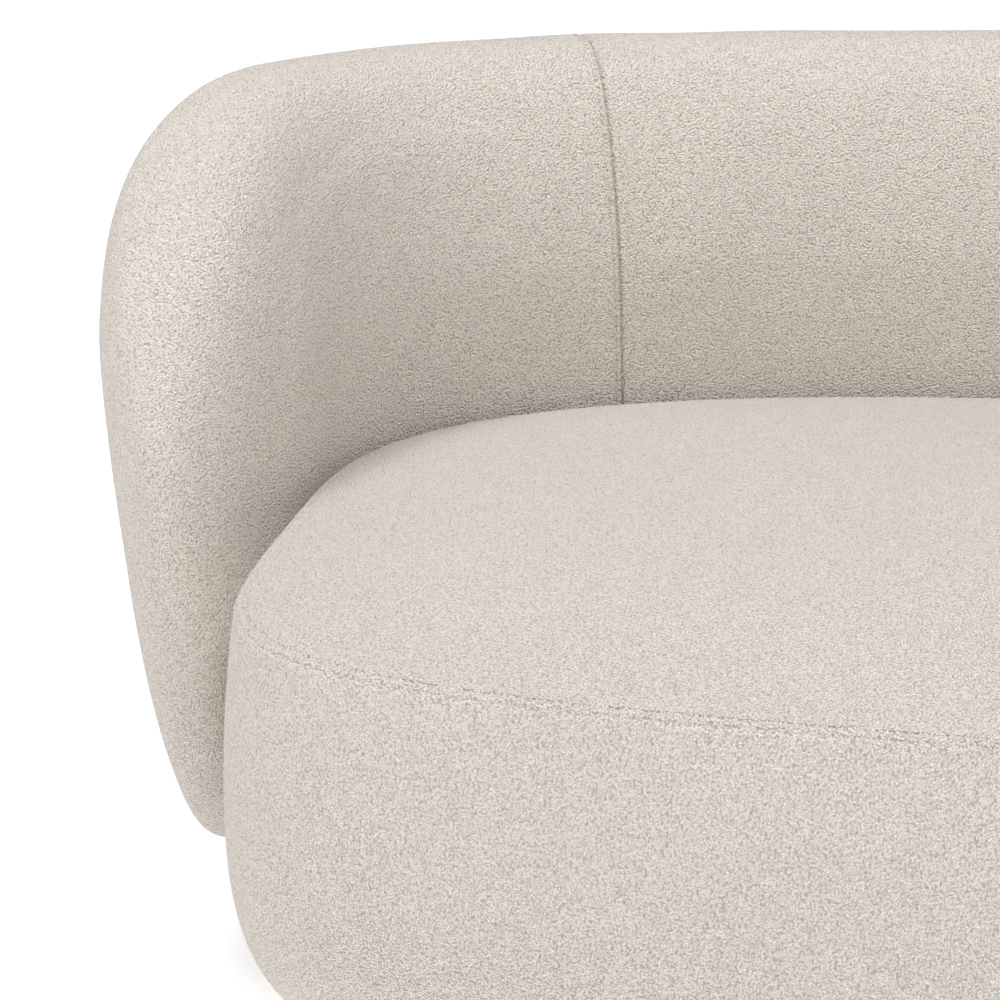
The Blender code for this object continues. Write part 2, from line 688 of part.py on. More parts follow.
def uprights(mat):
    """Uprights spread evenly over the top rail's length."""
    reach = HALF_PATH - TOP_RAIL_SETBACK - UPRIGHT_WIDTH
    for k in range(UPRIGHT_COUNT):
        upright("back_upright_%d" % (k + 1), reach * (2 * k / (UPRIGHT_COUNT - 1) - 1), mat)


# ------------------------------------------------------------------ legs and ironwork

def turned(name, profile, mat, place):
    """Spin a closed profile of (radius, z) points round a vertical axis."""
    bm = bmesh.new()
    verts = [bm.verts.new((radius, 0.0, z)) for radius, z in profile]
    edges = [bm.edges.new((a, b)) for a, b in zip(verts, verts[1:])]
    if profile[0][0] > 0:
        edges.append(bm.edges.new((verts[-1], verts[0])))
    bmesh.ops.spin(bm, geom=verts + edges, axis=(0, 0, 1), cent=(0, 0, 0),
                   angle=2 * math.pi, steps=TURNED_STEPS, use_merge=True)
    bmesh.ops.remove_doubles(bm, verts=bm.verts[:], dist=1e-6)
    obj = finish_mesh(name, bm, mat, SMOOTH_TURNED)
    obj.location = (*place, 0.0)
    return obj


def leg_profile():
    """A straight taper with eased edges, bored from the top for its bolt."""
    bore = BOLT_RADIUS + BOLT_HOLE_CLEARANCE
    bore_z = LEG_TOP_Z - BOLT_IN_LEG - GAP
    taper = (LEG_TOP_RADIUS - LEG_FOOT_RADIUS) / (LEG_TOP_Z - LEG_FOOT_Z) * LEG_EDGE
    return [(0.0, LEG_FOOT_Z), (LEG_FOOT_RADIUS - LEG_EDGE, LEG_FOOT_Z),
            (LEG_FOOT_RADIUS, LEG_FOOT_Z + LEG_EDGE), (LEG_TOP_RADIUS - taper, LEG_TOP_Z - LEG_EDGE),
            (LEG_TOP_RADIUS - LEG_EDGE, LEG_TOP_Z), (bore, LEG_TOP_Z), (bore, bore_z), (0.0, bore_z)]


def plate_profile():
    hole = BOLT_RADIUS + BOLT_HOLE_CLEARANCE
    return [(hole, PLATE_Z), (LEG_PLATE_RADIUS, PLATE_Z),
            (LEG_PLATE_RADIUS, PLATE_Z + LEG_PLATE), (hole, PLATE_Z + LEG_PLATE)]


def bolt_profile():
    low = LEG_TOP_Z - BOLT_IN_LEG
    high = FRAME_Z + BOLT_IN_FRAME
    return [(0.0, low), (BOLT_RADIUS, low), (BOLT_RADIUS, high), (0.0, high)]


def glide_profile():
    return [(0.0, 0.0), (GLIDE_RADIUS - GLIDE_CHAMFER, 0.0), (GLIDE_RADIUS, GLIDE_CHAMFER),
            (GLIDE_RADIUS, GLIDE), (0.0, GLIDE)]


def legs(finish):
    """Each leg with its plate, bolt and glide."""
    for name, place in leg_places().items():
        turned("leg_" + name, leg_profile(), finish["oak"], place)
        if name != "middle":
            turned("leg_plate_" + name, plate_profile(), finish["steel"], place)
        turned("leg_bolt_" + name, bolt_profile(), finish["steel"], place)
        turned("glide_" + name, glide_profile(), finish["glide"], place)


def bolt_hole_cutter(mat):
    """Rods where the bolts pass up through the dust cover into the frame."""
    bm = bmesh.new()
    low = UNDERSIDE_HEIGHT - DUST_COVER
    high = FRAME_Z + BOLT_IN_FRAME + GAP
    for x, y in leg_places().values():
        bmesh.ops.create_cone(
            bm, cap_ends=True, segments=TURNED_STEPS, radius1=BOLT_RADIUS + BOLT_HOLE_CLEARANCE,
            radius2=BOLT_RADIUS + BOLT_HOLE_CLEARANCE, depth=high - low,
            matrix=Matrix.Translation((x, y, (low + high) / 2)))
    obj = finish_mesh("bolt_hole_cutter", bm, mat)
    obj.hide_render = True
    obj.display_type = "WIRE"
    return obj


def joining_plate(name, distance, mat):
    """A flat bar under the seat's edge and the back's foot."""
    middle, outward = path_point(distance)
    along = outward.cross(Vector((0, 0, 1)))
    foot = back_shift(UNDERSIDE_HEIGHT)
    inner = -PATH_OFFSET - SEAT_BOTTOM_TUCK - JOINING_PLATE_GRIP
    outer = foot + JOINING_PLATE_HEEL
    bm = bmesh.new()
    bmesh.ops.create_cube(bm, size=1.0)
    for vert in bm.verts:
        across = outer if vert.co.x > 0 else inner
        z = UNDERSIDE_HEIGHT - GAP - (JOINING_PLATE if vert.co.z < 0 else 0.0)
        vert.co = middle + outward * across + along * (vert.co.y * JOINING_PLATE_WIDTH) + Vector((0, 0, z))
    return finish_mesh(name, bm, mat)


def joining_plates(mat):
    reach = HALF_PATH * JOINING_PLATE_SIDE_SHARE
    for name, distance in {"left": -reach, "middle": 0.0, "right": reach}.items():
        joining_plate("joining_plate_" + name, distance, mat)


def clear_scene():
    for obj in list(bpy.data.objects):
        bpy.data.objects.remove(obj, do_unlink=True)


def main():
    clear_scene()
    finish = finishes()
    cutter = bolt_hole_cutter(finish["steel"])
    seat_ring("seat_bottom_ring", FRAME_Z, finish["plywood"])
    cut(bpy.data.objects["seat_bottom_ring"], cutter)
    seat_ring("seat_top_ring", FRAME_TOP_Z - PLYWOOD, finish["plywood"])
    seat_posts(finish["pine"])
    cross_rails(finish["pine"], cutter)
    side_panel("side_panel_rear", 0.0, finish["panel"])
    side_panel("side_panel_front", math.pi, finish["panel"])
    webbing(finish["webbing"])
    border_foam(finish["foam"])
    seat_foam(finish["foam"])
    seat_wadding(finish["wadding"])
    seat_border_cover(finish["boucle"])
    seat_top_cover(finish["boucle"])
    dust_cover(finish["dust_cloth"], cutter)
    back_rail("back_bottom_rail", BOTTOM_RAIL_Z, BOTTOM_RAIL_WIDTH, BOTTOM_RAIL_SETBACK, finish["plywood"])
    back_rail("back_top_rail", TOP_RAIL_Z, TOP_RAIL_WIDTH, TOP_RAIL_SETBACK, finish["plywood"])
    uprights(finish["pine"])
    back_foams(finish["foam"])
    back_covers(finish["boucle"])
    legs(finish)
    joining_plates(finish["steel"])


main()
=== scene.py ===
# %% [markdown]
# # A curved boucle sofa on turned wooden legs
# The real sofa is a plywood and pine frame under foam, covered in a looped ivory wool cloth. One
# wrap-around back holds a thick pebble-shaped seat. The frame, the boards and the straps come
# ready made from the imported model. This script makes what the eye meets: the sewn covers, their
# stitches, the legs, the ironwork underneath, and the finish of every part.

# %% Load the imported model
import math

import bmesh
import bpy
import numpy as np
from mathutils import Matrix, Vector, noise


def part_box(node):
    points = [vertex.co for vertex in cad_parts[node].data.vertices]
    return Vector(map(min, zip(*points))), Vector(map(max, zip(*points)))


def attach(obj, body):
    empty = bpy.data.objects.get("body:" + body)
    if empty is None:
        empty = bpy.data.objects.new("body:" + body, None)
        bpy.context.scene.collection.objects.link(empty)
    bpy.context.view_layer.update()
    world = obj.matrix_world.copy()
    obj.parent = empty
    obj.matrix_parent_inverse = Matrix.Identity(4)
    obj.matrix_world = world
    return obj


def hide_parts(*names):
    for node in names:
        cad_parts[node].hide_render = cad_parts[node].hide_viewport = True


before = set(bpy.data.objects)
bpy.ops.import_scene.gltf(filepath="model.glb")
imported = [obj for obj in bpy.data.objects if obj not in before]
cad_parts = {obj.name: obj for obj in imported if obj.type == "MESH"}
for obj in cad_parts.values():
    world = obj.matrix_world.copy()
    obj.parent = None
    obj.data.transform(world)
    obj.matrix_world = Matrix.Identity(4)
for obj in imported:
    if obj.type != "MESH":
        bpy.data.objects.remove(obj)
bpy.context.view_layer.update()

# %% [markdown]
# ## The sofa's driving sizes
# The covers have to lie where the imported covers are, so they are drawn from the same sizes, in
# metres. The seat's outline in plan is two half superellipses that share the widest line: a curve
# between an ellipse and a rectangle, whose squareness is its exponent. The back is one section of
# the same kind, carried round the seat on a path that keeps its distance from that outline.

# %% Sizes shared with the frame
SOFA_WIDTH = 2.171
SOFA_DEPTH = 1.047
SOFA_HEIGHT = 0.736
UNDERSIDE_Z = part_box("dust_cover")[0].z
SEAT_FRONT_REACH = 0.426
SEAT_FRONT_SQUARENESS = 5.3
SEAT_REAR_SQUARENESS = 2.66
WIDEST_Z = UNDERSIDE_Z + 0.150
SEAM_Z = UNDERSIDE_Z + 0.305
CROWN_Z = UNDERSIDE_Z + 0.340
SEAM_TUCK = 0.011
BOTTOM_TUCK = 0.060
BOTTOM_ROUND = 2.3
CROWN_ROUND = 2.2
CROWN_SHARE = 0.96
CROWN_GATHER = 1.2
BACK_THICKNESS = 0.182
BACK_FOOT_THICKNESS = 0.108
BACK_WIDENS_OVER = 0.435
BACK_LEAN = 0.056
BACK_SQUARENESS = 2.8
BACK_CLEARANCE = 0.004
ARM_STRAIGHT_RUN = 0.083
ARM_COVER_LENGTH = 0.631
NOSE_Z = UNDERSIDE_Z + 0.312
NOSE_TOP_LENGTH = 0.312
NOSE_FOOT_LENGTH = 0.100
NOSE_SIDE_LENGTH = 0.180
NOSE_ROUND = 2.24
NOSE_SIDE_ROUND = 2.0
COVER_RETURN = 0.035
WIDEST_Y = SEAT_FRONT_REACH - SOFA_DEPTH / 2
print("underside at", round(UNDERSIDE_Z, 4), "seam at", round(SEAM_Z, 4), "crown at", round(CROWN_Z, 4))

# %% [markdown]
# ## The curves behind the shapes
# Each curve is a small function of whole arrays, so one call places thousands of corners. Corners
# should stand at even distances along a curve, or the cloth would be fine in one place and coarse
# in the next. So a curve is first sampled densely, and its parameter is then read off at even
# distances.

# %% Powers and even steps
QUADRANT_SAMPLES = 4000


def signed_power(value, exponent):
    """A power that keeps the sign of its value."""
    return np.sign(value) * np.abs(value) ** exponent


def eased(value, start, width):
    """0 up to start, 1 beyond start + width, smooth between."""
    share = np.clip((value - start) / width, 0, 1)
    return share * share * (3 - 2 * share)


def dense_turns():
    """Angles round a full turn, gathered at the quarter points, where a superellipse runs fastest."""
    ease = (1 - np.cos(np.linspace(0, math.pi, QUADRANT_SAMPLES))) / 2
    quarters = [math.pi / 2 * (quarter + ease[:-1]) for quarter in range(4)]
    return np.concatenate(quarters + [[2 * math.pi]])


def evenly(parameters, points, count):
    """The parameters that stand at count + 1 even distances along a line of points."""
    run = np.concatenate([[0.0], np.cumsum(np.linalg.norm(np.diff(points, axis=0), axis=1))])
    return np.interp(np.linspace(0, run[-1], count + 1), run, parameters)


print("dense turns:", len(dense_turns()))

# %% The back's section and the seat's outline
HEIGHT_SAMPLES = 60
TURN_SAMPLES = 181


def back_half_thickness(z):
    """Half the back's thickness at height z, before its section rounds off."""
    share = np.clip((z - UNDERSIDE_Z) / BACK_WIDENS_OVER, 0, 1)
    return (BACK_FOOT_THICKNESS + (BACK_THICKNESS - BACK_FOOT_THICKNESS) * share) / 2


def back_shift(z):
    """How far the back leans in at height z, measured from its top."""
    return BACK_LEAN * (z - SOFA_HEIGHT)


def side_inset(z):
    """How far the seat's side lies inside its widest line at height z."""
    drop = np.clip((WIDEST_Z - z) / (WIDEST_Z - UNDERSIDE_Z), 0, 1)
    sine = np.sqrt(1 - drop ** BOTTOM_ROUND)
    rise = np.clip((z - WIDEST_Z) / (SEAM_Z - WIDEST_Z), 0, 1)
    return np.where(z < WIDEST_Z, BOTTOM_TUCK * (1 - sine ** (2 / BOTTOM_ROUND)), SEAM_TUCK * rise ** 2)


def section(turn, top=SOFA_HEIGHT, foot=UNDERSIDE_Z, rounding=1.0):
    """The back's section: outward offset and height at each turn."""
    z = (top + foot) / 2 + (top - foot) / 2 * signed_power(np.sin(turn), 2 / BACK_SQUARENESS)
    sideways = signed_power(np.cos(turn), 2 / BACK_SQUARENESS)
    return back_half_thickness(z) * rounding * sideways + back_shift(z), z


heights = np.linspace(UNDERSIDE_Z + BOTTOM_TUCK / 2, SEAM_Z, HEIGHT_SAMPLES)
inner_faces = back_half_thickness(heights) - back_shift(heights) - side_inset(heights)
PATH_OFFSET = inner_faces.max() + BACK_CLEARANCE
OUTER_REACH = section(np.linspace(-math.pi / 2, math.pi / 2, TURN_SAMPLES))[0].max()
SEAT_HALF_WIDTH = SOFA_WIDTH / 2 - OUTER_REACH - PATH_OFFSET
SEAT_REAR_REACH = SOFA_DEPTH - SEAT_FRONT_REACH - OUTER_REACH - PATH_OFFSET


def outline(angle, inset):
    """Places on the seat's outline, inset from its widest line; a quarter turn is the rear."""
    front = SEAT_FRONT_REACH - inset
    rear = SEAT_REAR_REACH * front / SEAT_FRONT_REACH
    at_rear = np.sin(angle) > 0
    squareness = np.where(at_rear, SEAT_REAR_SQUARENESS, SEAT_FRONT_SQUARENESS)
    x = (SEAT_HALF_WIDTH - inset) * signed_power(np.cos(angle), 2 / squareness)
    y = WIDEST_Y + np.where(at_rear, rear, front) * signed_power(np.sin(angle), 2 / squareness)
    return np.stack([x, y], -1)


print("seat half width", round(SEAT_HALF_WIDTH, 4), "path offset", round(PATH_OFFSET, 4))

# %% The path of the back
PATH_SAMPLES = 4000


def back_path():
    """Distance, place and outward direction, from the middle of the rear to the left arm's nose."""
    turns = dense_turns()
    turns = turns[(turns >= math.pi / 2) & (turns <= math.pi)]
    points = outline(turns, 0.0)
    points[-1] = (-SEAT_HALF_WIDTH, WIDEST_Y)
    even = evenly(turns, points, PATH_SAMPLES)
    points = outline(even, 0.0)
    points[-1] = (-SEAT_HALF_WIDTH, WIDEST_Y)
    run = np.gradient(points, axis=0)
    run /= np.linalg.norm(run, axis=1)[:, None]
    run[0] = (-1.0, 0.0)
    run[-1] = (0.0, -1.0)
    outward = np.stack([run[:, 1], -run[:, 0]], 1)
    points = points + outward * PATH_OFFSET
    points = np.vstack([points, points[-1] - (0.0, ARM_STRAIGHT_RUN)])
    outward = np.vstack([outward, outward[-1]])
    run = np.concatenate([[0.0], np.cumsum(np.linalg.norm(np.diff(points, axis=0), axis=1))])
    return run, points, outward


PATH_RUN, PATH_POINTS, PATH_OUTWARD = back_path()
HALF_PATH = float(PATH_RUN[-1])


def path_place(distance):
    """Place and outward direction at a distance from the rear's middle; - is left and + is right."""
    side = np.where(distance > 0, 1.0, -1.0)
    at = np.minimum(np.abs(distance), HALF_PATH)
    x, y = (np.interp(at, PATH_RUN, PATH_POINTS[:, k]) for k in (0, 1))
    out_x, out_y = (np.interp(at, PATH_RUN, PATH_OUTWARD[:, k]) for k in (0, 1))
    return np.stack([-side * x, y], -1), np.stack([-side * out_x, out_y], -1)


def nose_rounding(to_nose, length, squareness):
    """Falls from 1 to 0 over the last length before the nose, on a rounded curve."""
    share = 1 - np.clip(to_nose / length, 0, 1)
    return (1 - share ** squareness) ** (1 / squareness)


def back_surface(distance, turn):
    """Places on the back's outer skin."""
    to_nose = HALF_PATH - np.abs(distance)
    top = NOSE_Z + (SOFA_HEIGHT - NOSE_Z) * nose_rounding(to_nose, NOSE_TOP_LENGTH, NOSE_ROUND)
    foot = NOSE_Z + (UNDERSIDE_Z - NOSE_Z) * nose_rounding(to_nose, NOSE_FOOT_LENGTH, NOSE_ROUND)
    offset, z = section(turn, top, foot, nose_rounding(to_nose, NOSE_SIDE_LENGTH, NOSE_SIDE_ROUND))
    place, outward = path_place(distance)
    return np.column_stack([place + outward * offset[:, None], z])


print("half path", round(HALF_PATH, 4), "m")

# %% [markdown]
# ## From a flat grid to a fitted cover
# A cover is a grid of quads bent into place, because a regular grid both subdivides and simulates
# well. Its rows are close together beside a seam, where the cloth turns in sharply, and wider
# apart elsewhere. Every corner keeps its distance from the seam as an attribute, so that later
# steps know where the seam is after the cloth has moved.

# %% Bend a grid
CLOTH_STEP = 0.0118
SEAM_STEP = 0.0014
SEAM_ROWS = 8
STEP_GROWTH = 1.4
SAME_PLACE = 1e-6           # corners closer than this are one corner


def rows_from_seam(length):
    """Distances from a seam: close steps first, growing to the cloth's own step."""
    distances = [SEAM_STEP * row for row in range(SEAM_ROWS + 1)]
    step = SEAM_STEP
    while step < CLOTH_STEP / STEP_GROWTH:
        step *= STEP_GROWTH
        distances.append(distances[-1] + step)
    left = length - distances[-1]
    count = max(round(left / CLOTH_STEP), 1)
    return np.array(distances + [distances[-1] + left * (k + 1) / count for k in range(count)])


def corners_of(mesh):
    """The mesh's vertex places as rows."""
    places = np.zeros(len(mesh.vertices) * 3)
    mesh.vertices.foreach_get("co", places)
    return places.reshape(-1, 3)


def attribute_of(mesh, name):
    """The values of one vertex attribute."""
    values = np.zeros(len(mesh.vertices))
    mesh.attributes[name].data.foreach_get("value", values)
    return values


def piece_from(name, bm, finish=None):
    """Close a bmesh's work and make it a shown piece at the origin."""
    bmesh.ops.recalc_face_normals(bm, faces=bm.faces[:])
    mesh = bpy.data.meshes.new(name)
    bm.to_mesh(mesh)
    bm.free()
    mesh.shade_smooth()
    piece = bpy.data.objects.new(name, mesh)
    bpy.context.scene.collection.objects.link(piece)
    if finish:
        mesh.materials.append(finish)
    return piece


def bent_sheet(name, across, along, place):
    """A grid of quads whose corner (i, j) goes to place(i, j); place also gives the seam distance."""
    bm = bmesh.new()
    bmesh.ops.create_grid(bm, x_segments=across, y_segments=along, size=1.0)
    from_seam = bm.verts.layers.float.new("from_seam")
    flat = np.array([vert.co for vert in bm.verts])
    i = np.rint((flat[:, 0] + 1) / 2 * across).astype(int)
    j = np.rint((flat[:, 1] + 1) / 2 * along).astype(int)
    places, distances = place(i, j)
    for vert, spot, distance in zip(bm.verts, places, distances):
        vert.co = spot
        vert[from_seam] = distance
    bmesh.ops.remove_doubles(bm, verts=bm.verts[:], dist=SAME_PLACE)
    return piece_from(name, bm)


print("rows beside a seam:", np.round(rows_from_seam(0.1) * 1000, 1), "mm")

# %% [markdown]
# ## The covers before they are filled
# The arm covers are sleeves that close at the nose. The back cover is a tube between the two
# vertical seams. The seat has a flat-lying top panel, and a border that runs down its side, round
# the lower edge and a hand's width under the frame.

# %% Arm and back covers
AROUND_SECTION = 132
NOSE_ROWS = 26
SEAM_SLANT = 0.040          # how far each vertical seam moves along the back for each metre of height
SEAM_MIDDLE_Z = 0.58
SLANT_REACH = 0.28
SECTION_TURNS = evenly(dense_turns(), np.column_stack(section(dense_turns())), AROUND_SECTION)[:-1]


def slanted(distance, turn, from_seam):
    """Tilt the rows beside a vertical seam: its top lies nearer the nose than its foot."""
    lean = SEAM_SLANT * (section(turn)[1] - SEAM_MIDDLE_Z) * (1 - eased(from_seam, 0, SLANT_REACH))
    return distance + np.sign(distance) * lean


def arm_rows(rows_for):
    """Distances from the seam to the nose, even along the cloth where the nose rounds off."""
    straight = rows_for(ARM_COVER_LENGTH - NOSE_SIDE_LENGTH)
    bends = np.linspace(0, math.pi / 2, NOSE_ROWS + 1)[1:]
    rounded = straight[-1] + NOSE_SIDE_LENGTH * np.sin(bends) ** (2 / NOSE_SIDE_ROUND)
    return np.concatenate([straight, rounded])


def arm_cover(name, side, rows_for=rows_from_seam):
    rows = arm_rows(rows_for)

    def place(i, j):
        distance = side * (HALF_PATH - ARM_COVER_LENGTH + rows[j])
        turn = i % AROUND_SECTION
        distance = slanted(distance, SECTION_TURNS[turn], rows[j])
        return back_surface(distance, SECTION_TURNS[turn]), rows[j]

    return bent_sheet(name, AROUND_SECTION, len(rows) - 1, place)


def back_cover(name, rows_for=rows_from_seam):
    reach = HALF_PATH - ARM_COVER_LENGTH
    half = rows_for(reach)
    rows = np.concatenate([half, 2 * reach - half[-2::-1]])

    def place(i, j):
        turn = i % AROUND_SECTION
        from_seam = np.minimum(rows, 2 * reach - rows)[j]
        distance = slanted(rows[j] - reach, SECTION_TURNS[turn], from_seam)
        return back_surface(distance, SECTION_TURNS[turn]), from_seam

    return bent_sheet(name, AROUND_SECTION, len(rows) - 1, place)


covers = {
    "arm_upholstery_left": arm_cover("arm_upholstery_left", -1),
    "arm_upholstery_right": arm_cover("arm_upholstery_right", 1),
    "back_upholstery": back_cover("back_upholstery"),
}
print({name: len(piece.data.polygons) for name, piece in covers.items()})

# %% Seat covers
AROUND_SEAT = 376
SEAT_TURNS = evenly(dense_turns(), outline(dense_turns(), 0.0), AROUND_SEAT)
BORDER_SAMPLES = 600
HALVINGS = 40


def border_line():
    """Seam distance, inset and height down the seat's side and in under the frame."""
    upper = np.linspace(SEAM_Z, WIDEST_Z, BORDER_SAMPLES)
    turns = np.linspace(math.pi / 2, 0, BORDER_SAMPLES)
    lower = WIDEST_Z - (WIDEST_Z - UNDERSIDE_Z) * np.cos(turns) ** (2 / BOTTOM_ROUND)
    z = np.concatenate([upper, lower[1:], [UNDERSIDE_Z]])
    inset = np.append(side_inset(z[:-1]), BOTTOM_TUCK + COVER_RETURN)
    run = np.concatenate([[0.0], np.cumsum(np.hypot(np.diff(inset), np.diff(z)))])
    return run, inset, z


def seat_border(name, rows_for=rows_from_seam):
    run, insets, z = border_line()
    rows = rows_for(run[-1])

    def place(i, j):
        inset = np.interp(rows[j], run, insets)
        turn = i % AROUND_SEAT
        plan = outline(SEAT_TURNS[turn], inset)
        return np.column_stack([plan, np.interp(rows[j], run, z)]), rows[j]

    return bent_sheet(name, AROUND_SEAT, len(rows) - 1, place)


def crown_height(inset):
    """Height of the seat's crown at an inset from the widest line."""
    run = SEAT_FRONT_REACH * CROWN_SHARE - SEAM_TUCK
    share = np.clip((inset - SEAM_TUCK) / run, 0, 1) ** (1 / CROWN_GATHER)
    return SEAM_Z + (CROWN_Z - SEAM_Z) * (1 - (1 - share) ** CROWN_ROUND)


def inset_at(plan):
    """The inset of the outline that passes through each place, by halving."""
    low = np.zeros(len(plan))
    high = np.full(len(plan), SEAT_FRONT_REACH * (1 - 1e-6))
    at_rear = plan[:, 1] > WIDEST_Y
    squareness = np.where(at_rear, SEAT_REAR_SQUARENESS, SEAT_FRONT_SQUARENESS)
    for _ in range(HALVINGS):
        middle = (low + high) / 2
        front = SEAT_FRONT_REACH - middle
        reach = np.where(at_rear, SEAT_REAR_REACH * front / SEAT_FRONT_REACH, front)
        wide = np.abs(plan[:, 0]) / (SEAT_HALF_WIDTH - middle)
        deep = np.abs(plan[:, 1] - WIDEST_Y) / reach
        outside = wide ** squareness + deep ** squareness > 1
        high = np.where(outside, middle, high)
        low = np.where(outside, low, middle)
    return (low + high) / 2


SEAT_GRID = AROUND_SEAT // 4
RIM_REACH = 0.060


def square_rings(i, j, rings):
    """The square ring that each grid corner is on, and how far round the outline it belongs."""
    x, y = i - rings, j - rings
    ring = np.maximum(np.abs(x), np.abs(y))
    safe = np.maximum(ring, 1)
    eighths = np.where(x == ring, y / safe, np.where(y == ring, 2 - x / safe,
                       np.where(x == -ring, 4 - y / safe, 6 + x / safe))) % 8
    return ring, eighths / 8 * AROUND_SEAT


def seat_top(name, rows_for=rows_from_seam):
    """Square rings of a grid become rings of the seat: insets near the seam, then smaller copies."""
    rings = SEAT_GRID // 2
    close = rows_for(RIM_REACH)
    inner = rings - (len(close) - 1)

    def place(i, j):
        ring, turn = square_rings(i, j, rings)
        row = rings - ring
        seam = np.interp(row, range(len(close)), close)
        plan = outline(np.interp(turn, range(AROUND_SEAT + 1), SEAT_TURNS), SEAM_TUCK + seam)
        middle = np.array([0.0, WIDEST_Y])
        shrink = np.clip(ring / inner, 0, 1)[:, None]
        plan = middle + (plan - middle) * shrink
        inset = np.where(row < len(close), SEAM_TUCK + seam, inset_at(plan))
        return np.column_stack([plan, crown_height(inset)]), inset - SEAM_TUCK

    return bent_sheet(name, 2 * rings, 2 * rings, place)


covers["seat_top_panel"] = seat_top("seat_top_panel")
covers["seat_border_panel"] = seat_border("seat_border_panel")
print({name: len(piece.data.polygons) for name, piece in covers.items()})

# %% [markdown]
# ## The padding under the covers
# Foam fills the arms, the back and the seat's border, and a polyester wadding softens the seat's
# crown. Each pad follows its cover a little way inside it, so it is a copy of the cover's grid
# moved inwards along its normals and given a thickness.

# %% Cut the pads
PAD_DEPTH = 0.012
PAD_THICKNESS = 0.022
PAD_STEP = 0.028


def pad_rows(length):
    """Even rows, because a pad has no seam to turn in."""
    return np.linspace(0, length, max(round(length / PAD_STEP), 1) + 1)


def pad(name, skin):
    """The skin moved inwards, then thickened further in."""
    bm = bmesh.new()
    bm.from_mesh(skin.data)
    bm.normal_update()
    for vert, inwards in [(vert, vert.normal * PAD_DEPTH) for vert in bm.verts]:
        vert.co -= inwards
    bmesh.ops.solidify(bm, geom=bm.faces[:], thickness=PAD_THICKNESS)
    bpy.data.objects.remove(skin)
    return piece_from(name, bm)


pads = {
    "arm_pad_left": pad("arm_pad_left", arm_cover("skin", -1, pad_rows)),
    "arm_pad_right": pad("arm_pad_right", arm_cover("skin", 1, pad_rows)),
    "back_pad": pad("back_pad", back_cover("skin", pad_rows)),
    "seat_wadding_pad": pad("seat_wadding_pad", seat_top("skin", pad_rows)),
    "border_pad": pad("border_pad", seat_border("skin", pad_rows)),
}
print({name: len(piece.data.polygons) for name, piece in pads.items()})

# %% [markdown]
# ## Filling the covers
# Cloth over foam is tight and a little swollen between its seams. A short cloth simulation gives
# that: each cover starts slightly small, is held along its seams, and is blown up by a little
# pressure for twenty frames with gravity off. The swelling is then spread evenly and given a
# rounded limit, because foam only gives so far, and one subdivision smooths the result.

# %% Fill one cover
FILL_FRAMES = 20
FILL_PRESSURE = 2.0
FILL_LIMIT = 0.0055
START_SMALLER = 0.0030
HELD_WIDTH = 0.010
EASE_WIDTH = 0.090
SETTLED = 0.0040           # how much of the swelling the foam takes back
SINK_LIMIT = 0.0010
CALM_ROUNDS = 30


def normals_of(mesh):
    """The mesh's vertex normals as rows."""
    normals = np.zeros(len(mesh.vertices) * 3)
    mesh.vertex_normals.foreach_get("vector", normals)
    return normals.reshape(-1, 3)


def baked_mesh(piece):
    """The piece's mesh with its modifiers' work in it."""
    depsgraph = bpy.context.evaluated_depsgraph_get()
    return bpy.data.meshes.new_from_object(piece.evaluated_get(depsgraph), depsgraph=depsgraph)


def swap_mesh(piece, mesh):
    """Give the piece a new mesh and drop its modifiers."""
    piece.modifiers.clear()
    old = piece.data
    piece.data = mesh
    bpy.data.meshes.remove(old)
    mesh.name = piece.name
    mesh.shade_smooth()


def blow_up(piece):
    """Run the cloth simulation and return where the corners end."""
    held = np.flatnonzero(attribute_of(piece.data, "from_seam") < HELD_WIDTH)
    group = piece.vertex_groups.new(name="held")
    group.add(held.tolist(), 1.0, "REPLACE")
    cloth = piece.modifiers.new("fill", "CLOTH")
    cloth.settings.quality = 4
    cloth.settings.tension_stiffness = 20
    cloth.settings.compression_stiffness = 20
    cloth.settings.shear_stiffness = 8
    cloth.settings.bending_stiffness = 2
    cloth.settings.use_pressure = True
    cloth.settings.uniform_pressure_force = FILL_PRESSURE
    cloth.settings.effector_weights.gravity = 0
    cloth.settings.vertex_group_mass = "held"
    cloth.collision_settings.use_collision = False
    cloth.point_cache.frame_end = FILL_FRAMES
    for moment in range(1, FILL_FRAMES + 1):
        bpy.context.scene.frame_set(moment)
    filled = corners_of(baked_mesh(piece))
    piece.modifiers.clear()
    piece.vertex_groups.clear()
    bpy.context.scene.frame_set(1)
    return filled


def calmed(mesh, values):
    """Values spread over their neighbours, so that no fold of the simulation is left in them."""
    ends = np.zeros(len(mesh.edges) * 2, dtype=int)
    mesh.edges.foreach_get("vertices", ends)
    one, other = ends.reshape(-1, 2).T
    total = len(mesh.vertices)
    neighbours = np.bincount(ends, minlength=total)
    for _ in range(CALM_ROUNDS):
        near = np.bincount(one, values[other], total) + np.bincount(other, values[one], total)
        values = (values + near / neighbours) / 2
    return values


